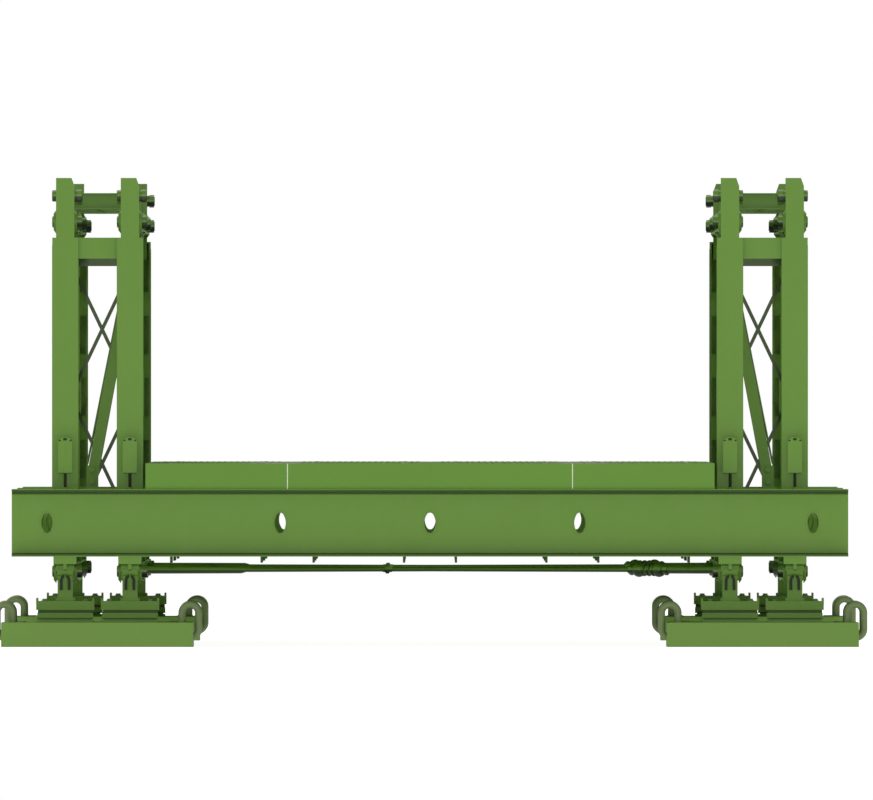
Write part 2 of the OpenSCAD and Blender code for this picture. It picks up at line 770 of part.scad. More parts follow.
// Hook bolts from the deck down past the edge of each transom, with a toe under its flange.
module hook_bolts() {
    pitch = deck_unit_w + deck_gap;
    clear = 2;
    toe_l = 60;
    edge = transom_w / 2 + hook_d / 2 + clear;
    low = transom_z - hook_drop;
    toe_z = transom_z - hook_d / 2;
    rows = [[-end_transom_y, 1], [-panel_pitch + transom_inset, 1], [-transom_inset, -1],
        [transom_inset, 1], [panel_pitch - transom_inset, -1], [end_transom_y, -1]];
    color(steel) for (row = rows, k = [-1.5, -0.5, 0.5, 1.5], s = [-1, 1])
        translate([k * pitch + s * hook_x, row[0], 0]) {
            translate([0, row[1] * edge, low])
                cylinder(d = hook_d, h = deck_top_z - deck_t - low, $fn = 24);
            translate([0, row[1] * edge, toe_z]) rotate([row[1] * 90, 0, 0])
                cylinder(d = hook_d, h = toe_l, $fn = 24);
        }
}

placed_panel(-outer_truss_x, FRONT);  // panel_left_outer_front
placed_panel(-inner_truss_x, FRONT);  // panel_left_inner_front
placed_panel(inner_truss_x, FRONT);  // panel_right_inner_front
placed_panel(outer_truss_x, FRONT);  // panel_right_outer_front
placed_panel(-outer_truss_x, BACK);  // panel_left_outer_back
placed_panel(-inner_truss_x, BACK);  // panel_left_inner_back
placed_panel(inner_truss_x, BACK);  // panel_right_inner_back
placed_panel(outer_truss_x, BACK);  // panel_right_outer_back
end_posts(FRONT, LEFT);  // end_posts_front_left
end_posts(FRONT, RIGHT);  // end_posts_front_right
end_posts(BACK, LEFT);  // end_posts_back_left
end_posts(BACK, RIGHT);  // end_posts_back_right
post_ties(LEFT);  // post_ties_left
post_ties(RIGHT);  // post_ties_right
bearings(FRONT, LEFT);  // bearings_front_left
bearings(FRONT, RIGHT);  // bearings_front_right
bearings(BACK, LEFT);  // bearings_back_left
bearings(BACK, RIGHT);  // bearings_back_right
base_plate(FRONT, LEFT);  // base_plate_front_left
base_plate(FRONT, RIGHT);  // base_plate_front_right
base_plate(BACK, LEFT);  // base_plate_back_left
base_plate(BACK, RIGHT);  // base_plate_back_right
lifting_rings(FRONT, LEFT);  // lifting_rings_front_left
lifting_rings(FRONT, RIGHT);  // lifting_rings_front_right
lifting_rings(BACK, LEFT);  // lifting_rings_back_left
lifting_rings(BACK, RIGHT);  // lifting_rings_back_right
transom(-end_transom_y);  // transom_front_end
transom(transom_inset - panel_pitch);  // transom_front_outer
transom(-transom_inset);  // transom_front_inner
transom(transom_inset);  // transom_back_inner
transom(panel_pitch - transom_inset);  // transom_back_outer
transom(end_transom_y);  // transom_back_end
deck_units(FRONT);  // deck_units_front
deck_units(BACK);  // deck_units_back
rakers(LEFT);  // rakers_left
rakers(RIGHT);  // rakers_right
bracing_frame(LEFT);  // bracing_frame_left
bracing_frame(RIGHT);  // bracing_frame_right
top_frames(LEFT);  // top_frames_left
top_frames(RIGHT);  // top_frames_right
sway_brace(FRONT);  // sway_brace_front
sway_brace(BACK);  // sway_brace_back
panel_pins();
transom_clamps();
hook_bolts();
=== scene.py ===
"""Looks of a two-bay panel truss road bridge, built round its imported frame.

Lengths are in metres in the frame's own axes: X across the roadway, Y along it, Z up.
Each sub-assembly of the bridge is a class that adds its fine pieces and paints its nodes.
"""

from __future__ import annotations

import logging
import math
from collections.abc import Iterable, Sequence
from dataclasses import dataclass
from enum import Enum

import bmesh
import bpy
from mathutils import Matrix, Vector


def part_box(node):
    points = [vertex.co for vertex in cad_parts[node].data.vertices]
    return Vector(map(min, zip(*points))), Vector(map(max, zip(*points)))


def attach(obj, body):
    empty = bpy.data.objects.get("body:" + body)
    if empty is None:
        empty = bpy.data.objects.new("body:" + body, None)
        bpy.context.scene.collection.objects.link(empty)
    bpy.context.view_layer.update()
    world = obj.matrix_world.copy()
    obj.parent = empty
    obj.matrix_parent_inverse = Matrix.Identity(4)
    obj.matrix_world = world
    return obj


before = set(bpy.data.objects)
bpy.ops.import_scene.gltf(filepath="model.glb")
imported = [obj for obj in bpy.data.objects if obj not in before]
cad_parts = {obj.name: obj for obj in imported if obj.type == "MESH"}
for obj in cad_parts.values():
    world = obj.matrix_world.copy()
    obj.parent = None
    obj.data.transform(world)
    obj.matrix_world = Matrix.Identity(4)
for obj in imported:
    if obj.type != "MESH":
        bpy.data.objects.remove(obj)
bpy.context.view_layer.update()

LOG = logging.getLogger("panel_bridge")
BODY = "root"
SINK = 0.0008

Point = tuple[float, float, float]
Flat = tuple[float, float]


class Slot(Enum):
    """The record's material slots."""

    BRIDGE = "bridge_paint"
    DECK = "deck_paint"
    BEARING = "bearing_paint"
    BRACE = "brace_paint"
    STEEL = "pin_steel"


class Axis(Enum):
    """The axis that a flat outline is drawn out along, with its two outline axes."""

    X = (0, 1, 2)
    Y = (1, 0, 2)
    Z = (2, 0, 1)


@dataclass(frozen=True)
class Layout:
    """The lines that the bridge is set out on."""

    truss_x: tuple[float, float] = (1.831, 2.226)
    lower_pin: float = 0.459
    upper_pin: float = 2.593
    head_pin: float = 2.751
    bay: float = 3.048
    post_y: float = 3.163
    chord_half_w: float = 0.0715
    chord_half_h: float = 0.051
    edge: float = 1.434
    deck_pitch: float = 0.869
    deck_top: float = 1.119
    deck_units: tuple[float, ...] = (-1.5, -0.5, 0.5, 1.5)
    rod_z: float = 0.465

    @property
    def side_x(self) -> float:
        """Middle line of one side's two trusses."""
        return sum(self.truss_x) / 2

    @property
    def mid_z(self) -> float:
        """Mid-height of the panels."""
        return (self.lower_pin + self.upper_pin) / 2

    def trusses(self) -> list[tuple[float, float]]:
        """Side and centre line of each of the four trusses."""
        return [(side, side * x) for side in (-1.0, 1.0) for x in self.truss_x]


SET_OUT = Layout()


class Signal:
    """A node socket that Python arithmetic extends with Math nodes."""

    def __init__(self, recipe: Recipe, socket: bpy.types.NodeSocket) -> None:
        """Wraps a socket of a recipe's node tree."""
        self.recipe = recipe
        self.socket = socket

    def _math(self, operation: str, *values: Signal | float) -> Signal:
        """Adds one Math node.

        Args:
            operation: The Math node's operation.
            values: Its inputs in order.

        Returns:
            The node's output.
        """
        return self.recipe.node("ShaderNodeMath", {"operation": operation}, dict(enumerate(values)))

    def __add__(self, other: Signal | float) -> Signal:
        """Sum."""
        return self._math("ADD", self, other)

    def __sub__(self, other: Signal | float) -> Signal:
        """Difference."""
        return self._math("SUBTRACT", self, other)

    def __rsub__(self, other: float) -> Signal:
        """Difference from a number."""
        return self._math("SUBTRACT", other, self)

    def __mul__(self, other: Signal | float) -> Signal:
        """Product."""
        return self._math("MULTIPLY", self, other)

    def __abs__(self) -> Signal:
        """Size without its sign."""
        return self._math("ABSOLUTE", self)

    __radd__ = __add__
    __rmul__ = __mul__

    def largest(self, other: Signal | float) -> Signal:
        """The larger of two values."""
        return self._math("MAXIMUM", self, other)

    def ramp(self, low: float, high: float) -> Signal:
        """Smooth step from 0 at low to 1 at high, or down where low is the larger.

        Args:
            low: Value at which the step is 0.
            high: Value at which it is 1.

        Returns:
            The step.
        """
        if low > high:
            return 1 - self.ramp(high, low)
        return self.recipe.node(
            "ShaderNodeMapRange",
            {"interpolation_type": "SMOOTHSTEP"},
            {"Value": self, "From Min": low, "From Max": high},
        )


class Recipe:
    """The node tree of one material."""

    def __init__(self, name: str) -> None:
        """Starts a material with an empty tree.

        Args:
            name: The material's name.
        """
        self.material = bpy.data.materials.new(name)
        self.material.use_nodes = True
        self.tree = self.material.node_tree
        self.tree.nodes.clear()

    def node(self, kind: str, settings: dict, inputs: dict, output: str | int = 0) -> Signal:
        """Adds a node of any type.

        Args:
            kind: The node's type.
            settings: Its properties, set first.
            inputs: Values or signals by socket name or number.
            output: The socket that is handed back.

        Returns:
            The chosen output.
        """
        made = self.tree.nodes.new(kind)
        for key, value in settings.items():
            setattr(made, key, value)
        for key, value in inputs.items():
            if isinstance(value, Signal):
                self.tree.links.new(value.socket, made.inputs[key])
            else:
                made.inputs[key].default_value = value
        return Signal(self, made.outputs[output])

    def place(self) -> Signal:
        """Object coordinates."""
        return self.node("ShaderNodeTexCoord", {}, {}, "Object")

    def parts(self, place: Signal) -> tuple[Signal, Signal, Signal]:
        """The X, Y and Z of a place."""
        return tuple(self.node("ShaderNodeSeparateXYZ", {}, {0: place}, k) for k in range(3))

    def stretched(self, place: Signal, scale: Point) -> Signal:
        """A place scaled along each axis."""
        return self.node("ShaderNodeMapping", {}, {"Vector": place, "Scale": scale})

    def noise(self, place: Signal, scale: float, detail: float = 2.0, rough: float = 0.5) -> Signal:
        """Noise from 0 to 1.

        Args:
            place: Where it is read.
            scale: About how many features it has to the metre.
            detail: Finer layers in it.
            rough: Strength of the finer layers.

        Returns:
            The noise.
        """
        return self.node(
            "ShaderNodeTexNoise",
            {},
            {"Vector": place, "Scale": scale, "Detail": detail, "Roughness": rough},
        )

    def mixed(self, factor: Signal | float, first: Signal | Sequence, second: Signal | Sequence) -> Signal:
        """Blends two colours.

        Args:
            factor: Share of the second, from 0 to 1.
            first: Colour at 0.
            second: Colour at 1.

        Returns:
            The blend.
        """
        return self.node(
            "ShaderNodeMix",
            {"data_type": "RGBA"},
            {0: factor, 6: solid(first), 7: solid(second)},
            2,
        )

    def bump(self, height: Signal, depth: float) -> Signal:
        """Bump of that depth in metres."""
        return self.node("ShaderNodeBump", {}, {"Height": height, "Distance": depth, "Strength": 1.0})

    def surface(self, inputs: dict) -> bpy.types.Material:
        """Closes the tree with a Principled surface.

        Args:
            inputs: Values or signals by socket name.

        Returns:
            The finished material.
        """
        shader = self.node("ShaderNodeBsdfPrincipled", {}, inputs)
        out = self.tree.nodes.new("ShaderNodeOutputMaterial")
        self.tree.links.new(shader.socket, out.inputs["Surface"])
        return self.material


def solid(color: Signal | Sequence) -> Signal | tuple:
    """A colour with its alpha, or a signal as it is."""
    return color if isinstance(color, Signal) else (*color[:3], 1.0)


def tinted(color: Sequence[float], by: float) -> Point:
    """A colour made lighter or darker by a factor."""
    return tuple(c * by for c in color)


OLIVE: Point = (0.1055, 0.2200, 0.0258)
DARK_OLIVE: Point = (0.075, 0.130, 0.034)
GREY_GREEN: Point = (0.085, 0.120, 0.050)
DECK_OLIVE: Point = (0.1145, 0.2380, 0.0387)
RING_OLIVE: Point = (0.115, 0.165, 0.060)
DARK_AND_SHADE_GREEN: Point = (0.030, 0.070, 0.008)
SHADE_BLACK: Point = (0.012, 0.020, 0.006)
PAINTED_GAP_LIGHT: Point = (0.62, 0.66, 0.50)
BOLT_GREEN: Point = (0.10, 0.16, 0.05)
BRIGHT_STEEL: Point = (0.30, 0.32, 0.26)
WORN_STEEL: Point = (0.24, 0.25, 0.20)
UNDERCOAT: Point = (0.055, 0.05, 0.04)
DUST: Point = (0.33, 0.30, 0.22)
GRIT: Point = (0.16, 0.15, 0.115)
RUST: Point = (0.16, 0.075, 0.03)
UNDERSIDE_SHADE: Point = (0.006, 0.012, 0.003)
DARKEST, LIGHTEST = 0.62, 1.38


@dataclass(frozen=True)
class Paint:
    """Satin paint on steel, a little mottled, with faint rain streaks, dust and small chips, and painted shade
    that darkens the undersides of round parts to near-black at given heights.
    """

    name: str
    color: Point
    roughness: float = 0.5
    mottle: float = 0.07
    streak: float = 0.06
    dust: float = 0.10
    dust_height: float = 0.42
    chips: float = 1.0
    gloss: float = 0.22
    painted_underside_shade: tuple[tuple[float, float], ...] = ()

    def material(self) -> bpy.types.Material:
        """Builds the paint.

        Returns:
            The material.
        """
        r = Recipe(self.name)
        place = r.place()
        _, _, z = r.parts(place)
        broad = r.noise(place, 1.3, 3.0)
        cloudy = r.noise(place, 9.0, 4.0, 0.6)
        runs = r.noise(r.stretched(place, (22.0, 22.0, 1.1)), 1.0, 3.0)
        speck = r.noise(place, 120.0, 2.0, 0.7)
        shade = (broad - 0.5) * (1.6 * self.mottle) + (cloudy - 0.5) * self.mottle + (runs - 0.5) * self.streak
        tone = r.mixed(shade + 0.5, tinted(self.color, DARKEST), tinted(self.color, LIGHTEST))
        dusty = z.ramp(self.dust_height, 0.0) * (cloudy * 0.8 + 0.3) * self.dust
        tone = r.mixed(dusty, tone, DUST)
        chip = (speck * 0.75 + cloudy * 0.25).ramp(0.742, 0.765) * self.chips
        tone = r.mixed(chip * 0.8, tone, UNDERCOAT)
        # Painted shade: each given band of height is darkened to near-black below its middle, standing in for
        # the shade beneath a round part.
        for middle, depth in self.painted_underside_shade:
            underside_shade_mask = z.ramp(middle + 0.004, middle - 0.006) * z.ramp(middle - depth - 0.006, middle - depth)
            tone = r.mixed(underside_shade_mask * 0.94, tone, UNDERSIDE_SHADE)
        peel = r.noise(place, 420.0, 1.0)
        height = peel * 0.35 + cloudy * 0.25 - chip * 0.6
        return r.surface(
            {
                "Base Color": tone,
                "Roughness": (cloudy - 0.5) * 0.16 + dusty * 0.4 + self.roughness,
                "Specular IOR Level": self.gloss,
                "Normal": r.bump(height, 0.0006),
            }
        )


@dataclass(frozen=True)
class DeckPaint:
    """Deck paint that traffic has worn to steel in two wheel tracks."""

    name: str
    color: Point
    top: float
    track: float = 0.93
    track_half: float = 0.34
    roughness: float = 0.7
    gloss: float = 0.12

    def material(self) -> bpy.types.Material:
        """Builds the worn paint.

        Returns:
            The material.
        """
        r = Recipe(self.name)
        place = r.place()
        x, _, z = r.parts(place)
        broad = r.noise(place, 1.6, 4.0, 0.6)
        fine = r.noise(place, 34.0, 5.0, 0.65)
        scuff = r.noise(r.stretched(place, (40.0, 3.0, 40.0)), 1.0, 4.0, 0.6)
        shade = (broad - 0.5) * 0.14 + (fine - 0.5) * 0.05
        tone = r.mixed(shade + 0.5, tinted(self.color, DARKEST), tinted(self.color, LIGHTEST))
        on_top = z.ramp(self.top - 0.006, self.top - 0.002)
        proud = z.ramp(self.top + 0.0004, self.top + 0.0009)
        tracks = abs(abs(x) - self.track).ramp(self.track_half, 0.08)
        grit = on_top * (broad * 0.5 + scuff * 0.5).ramp(0.35, 0.7)
        tone = r.mixed(grit * 0.5, tone, GRIT)
        bare = on_top * (tracks * (scuff * 0.7 + fine * 0.5)).ramp(0.42, 0.66) * 0.6
        bare = bare.largest(proud * tracks * (fine * 0.6 + 0.3))
        tone = r.mixed(bare, tone, WORN_STEEL)
        return r.surface(
            {
                "Base Color": tone,
                "Roughness": grit * 0.16 - bare * 0.12 + self.roughness,
                "Metallic": bare * 0.3,
                "Specular IOR Level": self.gloss,
                "Normal": r.bump(fine * 0.6 + scuff * 0.4, 0.0007),
            }
        )


@dataclass(frozen=True)
class Steel:
    """Bare or greased steel with fine scratches and a little rust."""

    name: str
    color: Point
    metallic: float = 0.6
    roughness: float = 0.38
    rust: float = 0.25

    def material(self) -> bpy.types.Material:
        """Builds the steel.

        Returns:
            The material.
        """
        r = Recipe(self.name)
        place = r.place()
        cloudy = r.noise(place, 26.0, 4.0, 0.6)
        scratch = r.noise(r.stretched(place, (30.0, 260.0, 260.0)), 1.0, 2.0)
        tone = r.mixed(cloudy, tinted(self.color, 0.7), tinted(self.color, 1.3))
        rusty = cloudy.ramp(0.56, 0.74) * self.rust
        tone = r.mixed(rusty, tone, RUST)
        return r.surface(
            {
                "Base Color": tone,
                "Metallic": (1 - rusty) * self.metallic,
                "Roughness": (cloudy - 0.5) * 0.2 + rusty * 0.3 + self.roughness,
                "Normal": r.bump(scratch * 0.5 + cloudy * 0.5, 0.0004),
            }
        )


class Finishes:
    """The finishes of the whole bridge, each made once."""

    def __init__(self) -> None:
        """Makes every finish."""
        pin_heights = (SET_OUT.lower_pin, SET_OUT.upper_pin, SET_OUT.head_pin)
        self.paint = Paint("olive_paint", OLIVE).material()
        self.cast = Paint("olive_paint_on_castings", OLIVE, 0.55, 0.09).material()
        self.plate = Paint("olive_paint_on_base_plates", OLIVE, 0.55, 0.08, dust=0.08).material()
        self.brace = Paint("dark_olive_paint", DARK_OLIVE).material()
        self.lace = Paint("bracing_paint", GREY_GREEN).material()
        self.ring = Paint("ring_paint", RING_OLIVE, 0.5, 0.2).material()
        # Dark green for the hook bolts, and painted shade for the creases under the transom flanges, the
        # bearings' recesses and the turnbuckles' grooves.
        self.line = Paint("dark_paint_and_painted_shade", DARK_AND_SHADE_GREEN, 0.6).material()
        # The rod and pin finishes carry painted shade: near-black undersides at the rods' and pins' heights.
        self.rod = Paint("sway_rod_paint_with_painted_underside_shade", OLIVE, 0.45, painted_underside_shade=((SET_OUT.rod_z, 0.06),)).material()
        self.deck = DeckPaint("worn_deck_paint", DECK_OLIVE, SET_OUT.deck_top).material()
        self.pin = Paint(
            "pin_paint_with_painted_underside_shade",
            tinted(OLIVE, 0.9),
            roughness=0.4,
            mottle=0.12,
            gloss=0.4,
            painted_underside_shade=tuple((height, 0.05) for height in pin_heights),
        ).material()
        self.bolt = Steel("bolt_steel", BOLT_GREEN, 0.3, 0.45).material()
        self.bright = Steel("bright_steel", BRIGHT_STEEL, 0.7, 0.4, 0.15).material()
        # Near-black painted shade for dark slits, shaded grooves and shaded faces.
        self.shadow = Paint("painted_shade_black", SHADE_BLACK, 0.6, chips=0.0).material()
        # Painted light: pale strips for the white backdrop seen through the deck's joint gaps.
        self.painted_gap_light = Paint("painted_light_in_joint_gaps", PAINTED_GAP_LIGHT, 0.6, chips=0.0).material()


class Shape:
    """A mesh in the making, to which closed forms are added."""

    def __init__(self) -> None:
        """Starts with nothing."""
        self.bm = bmesh.new()

    def _soften(self, verts: Iterable[bmesh.types.BMVert], width: float, sharp: float = 30.0) -> None:
        """Bevels the sharp edges between new corners.

        Args:
            verts: The new corners.
            width: Width of the bevel, or 0 for none.
            sharp: Angle in degrees above which an edge is sharp.
        """
        if width <= 0:
            return
        edges = dict.fromkeys(e for v in verts for e in v.link_edges)
        limit = math.radians(sharp)
        chosen = [e for e in edges if len(e.link_faces) == 2 and e.calc_face_angle(0.0) > limit]
        bmesh.ops.bevel(
            self.bm,
            geom=chosen,
            offset=width,
            offset_type="OFFSET",
            segments=1,
            profile=0.5,
            affect="EDGES",
            material=-1,
            clamp_overlap=True,
        )

    def block(self, low: Sequence[float], high: Sequence[float], bevel: float = 0.002) -> Shape:
        """Adds a box with softened edges.

        Args:
            low: One corner.
            high: The corner opposite.
            bevel: Softening of its edges.

        Returns:
            This shape.
        """
        lo, hi = Vector(map(min, low, high)), Vector(map(max, low, high))
        made = bmesh.ops.create_cube(self.bm, size=1.0)["verts"]
        bmesh.ops.scale(self.bm, verts=made, vec=hi - lo)
        bmesh.ops.translate(self.bm, verts=made, vec=(lo + hi) / 2)
        self._soften(made, bevel)
        return self

    def bar(
        self, start: Sequence[float], end: Sequence[float], radius: float, sides: int = 16, bevel: float = 0.0,
        tip: float | None = None,
    ) -> Shape:
        """Adds a round or many-sided bar between two points.

        Args:
            start: Middle of one end.
            end: Middle of the other end.
            radius: Radius at the start.
            sides: Sides of the bar.
            bevel: Softening of its rims.
            tip: Radius at the end, where it differs.

        Returns:
            This shape.
        """
        a, b = Vector(start), Vector(end)
        turn = (b - a).to_track_quat("Z", "Y").to_matrix().to_4x4()
        made = bmesh.ops.create_cone(
            self.bm,
            cap_ends=True,
            cap_tris=False,
            segments=sides,
            radius1=radius,
            radius2=radius if tip is None else tip,
            depth=(b - a).length,
            matrix=Matrix.Translation((a + b) / 2) @ turn,
        )["verts"]
        self._soften(made, bevel, 61.0)
        return self

    def _outline(self, outline: Sequence[Flat], axis: Axis, depth: float) -> list[bmesh.types.BMVert]:
        """Sets out the corners of a flat outline.

        Args:
            outline: Corners in the two axes across the given one.
            axis: Axis that the outline faces along.
            depth: Where it lies on that axis.

        Returns:
            The new corners.
        """
        through, first, second = axis.value
        corners = []
        for a, b in outline:
            place = [0.0, 0.0, 0.0]
            place[through], place[first], place[second] = depth, a, b
            corners.append(self.bm.verts.new(place))
        return corners

    def _draw_out(self, faces: list[bmesh.types.BMFace], axis: Axis, length: float) -> list[bmesh.types.BMVert]:
        """Extrudes a flat patch into a closed form.

        Args:
            faces: The patch.
            axis: Axis that it is drawn along.
            length: How far it is drawn.

        Returns:
            The form's corners.
        """
        base = dict.fromkeys(v for f in faces for v in f.verts)
        made = bmesh.ops.extrude_face_region(self.bm, geom=faces)["geom"]
        raised = [g for g in made if isinstance(g, bmesh.types.BMVert)]
        shift = [0.0, 0.0, 0.0]
        shift[axis.value[0]] = length
        bmesh.ops.translate(self.bm, verts=raised, vec=shift)
        corners = [*base, *raised]
        shell = dict.fromkeys(f for v in corners for f in v.link_faces)
        bmesh.ops.recalc_face_normals(self.bm, faces=list(shell))
        return corners

    def plate(
        self, outline: Sequence[Flat], axis: Axis, start: float, end: float, bevel: float = 0.0015
    ) -> Shape:
        """Draws a flat outline out into a plate.

        Args:
            outline: Corners in the two axes across the given one.
            axis: Axis that the plate's thickness runs along.
            start: Where the plate starts on that axis.
            end: Where it ends.
            bevel: Softening of its edges.

        Returns:
            This shape.
        """
        face = self.bm.faces.new(self._outline(outline, axis, start))
        self._soften(self._draw_out([face], axis, end - start), bevel)
        return self

    def collar(
        self, outer: Sequence[Flat], inner: Sequence[Flat], axis: Axis, start: float, end: float
    ) -> Shape:
        """Adds a flat ring between two outlines that have as many corners.

        Args:
            outer: Corners of the outer outline, in the two axes across the given one.
            inner: Corners of the inner outline.
            axis: Axis that the ring's thickness runs along.
            start: Where the ring starts on that axis.
            end: Where it ends.

        Returns:
            This shape.
        """
        rims = []
        for outline in (outer, inner):
            loop = self._outline(outline, axis, start)
            rims += [self.bm.edges.new((here, there)) for here, there in zip(loop, loop[1:] + loop[:1])]
        faces = bmesh.ops.bridge_loops(self.bm, edges=rims)["faces"]
        self._draw_out(faces, axis, end - start)
        return self

    def hoop(
        self,
        centre: Sequence[float],
        normal: Sequence[float],
        radius: float,
        wire: float,
        around: int = 20,
        sides: int = 6,
    ) -> Shape:
        """Spins a closed ring.

        Args:
            centre: Middle of the ring.
            normal: Direction of its axis.
            radius: Radius of its middle line.
            wire: Radius of its bar.
            around: Steps round the ring.
            sides: Sides of its bar.

        Returns:
            This shape.
        """
        turn = Vector(normal).to_track_quat("Z", "Y").to_matrix().to_4x4()
        place = Matrix.Translation(centre) @ turn
        section = bmesh.ops.create_circle(
            self.bm,
            cap_ends=False,
            segments=sides,
            radius=wire,
            matrix=place @ Matrix.Translation((radius, 0, 0)) @ Matrix.Rotation(math.pi / 2, 4, "X"),
        )["verts"]
        edges = list(dict.fromkeys(e for v in section for e in v.link_edges))
        before = set(self.bm.faces)
        bmesh.ops.spin(
            self.bm,
            geom=section + edges,
            cent=centre,
            axis=Vector(normal).normalized(),
            angle=2 * math.pi,
            steps=around,
            use_merge=True,
        )
        fresh = [f for f in self.bm.faces if f not in before]
        bmesh.ops.recalc_face_normals(self.bm, faces=fresh)
        return self

    def stamp(self, mesh: bpy.types.Mesh, places: Iterable[Matrix]) -> Shape:
        """Copies a finished mesh to each place.

        Args:
            mesh: The mesh, set out about the origin.
            places: Where the copies stand.

        Returns:
            This shape.
        """
        for place in places:
            count = len(self.bm.verts)
            self.bm.from_mesh(mesh)
            self.bm.verts.ensure_lookup_table()
            bmesh.ops.transform(self.bm, matrix=place, verts=self.bm.verts[count:])
        return self

    def mesh(self, name: str) -> bpy.types.Mesh:
        """Closes the shape into a mesh.

        Args:
            name: The mesh's name.

        Returns:
            The mesh.
        """
        made = bpy.data.meshes.new(name)
        self.bm.to_mesh(made)
        self.bm.free()
        return made


def oval(middle: Flat, width: float, height: float, grow: float = 0.0, steps: int = 6) -> list[Flat]:
    """Outline of an upright oval made of four arcs that run into each other.

    Args:
        middle: Its middle.
        width: Its width.
        height: Its height.
        grow: How far the outline lies outside that oval.
        steps: Corners to an arc.

    Returns:
        The corners, in order.
    """
    end_r = 0.6 * width * width / height
    rise = height / 2 - end_r
    side_r = (width * width / 4 + rise * rise - end_r * end_r) / (width - 2 * end_r)
    lean = math.atan2(rise, side_r - width / 2)
    arcs = (
        (width / 2 - side_r, 0.0, side_r, -lean, lean),
        (0.0, rise, end_r, lean, math.pi - lean),
        (side_r - width / 2, 0.0, side_r, math.pi - lean, math.pi + lean),
        (0.0, -rise, end_r, math.pi + lean, 2 * math.pi - lean),
    )
    return [
        (middle[0] + x + (r + grow) * math.cos(turn), middle[1] + z + (r + grow) * math.sin(turn))
        for x, z, r, start, end in arcs
        for turn in (start + (end - start) * k / steps for k in range(steps))
    ]


def facing(centre: Sequence[float], normal: Sequence[float]) -> Matrix:
    """Place of a small thing whose own up is +Z, stood on a point along a direction."""
    return Matrix.Translation(centre) @ Vector(normal).to_track_quat("Z", "Y").to_matrix().to_4x4()


def bolt_head(across: float, height: float) -> bpy.types.Mesh:
    """A hexagon head on a washer, stood at the origin along +Z.

    Args:
        across: Width of the hexagon over its corners.
        height: Height of head and washer.

    Returns:
        The mesh, of a few dozen faces.
    """
    shape = Shape()
    washer = height * 0.22
    shape.bar((0, 0, -SINK), (0, 0, washer), across * 0.62, 12)
    shape.bar((0, 0, washer - SINK), (0, 0, height), across / 2, 6, height * 0.12)
    return shape.mesh("bolt_head")


def arrayed(mesh: bpy.types.Mesh, counts: tuple[int, int], steps: tuple[float, float]) -> bpy.types.Mesh:
    """Repeats a mesh in rows along X and Y with Array modifiers, applied.

    Args:
        mesh: The mesh of one cell.
        counts: Cells along X and along Y.
        steps: Pitch along X and along Y.

    Returns:
        The repeated mesh.
    """
    holder = bpy.data.objects.new("array_holder", mesh)
    bpy.context.scene.collection.objects.link(holder)
    for index, (count, step) in enumerate(zip(counts, steps)):
        rows = holder.modifiers.new(f"rows_{index}", "ARRAY")
        rows.count = count
        rows.use_relative_offset = False
        rows.use_constant_offset = True
        offset = [0.0, 0.0, 0.0]
        offset[index] = step
        rows.constant_offset_displace = offset
    graph = bpy.context.evaluated_depsgraph_get()
    done = bpy.data.meshes.new_from_object(holder.evaluated_get(graph))
    bpy.data.objects.remove(holder)
    return done


def add_piece(name: str, mesh: bpy.types.Mesh, finish: bpy.types.Material) -> None:
    """Shows a mesh as a piece of the bridge.

    Args:
        name: Name of the piece.
        mesh: Its mesh, with its place in it.
        finish: Its material.
    """
    mesh.name = name
    mesh.materials.clear()
    mesh.materials.append(finish)
    piece = bpy.data.objects.new(name, mesh)
    bpy.context.scene.collection.objects.link(piece)
    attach(piece, BODY)
    LOG.info("%s: %d faces", name, len(mesh.polygons))


def dress_nodes(prefix: str, finish: bpy.types.Material) -> None:
    """Paints the frame's nodes.

    Args:
        prefix: How the names of the nodes start.
        finish: Their material.
    """
    for name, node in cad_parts.items():
        if name.startswith(prefix):
            for place in node.material_slots:
                place.material = finish


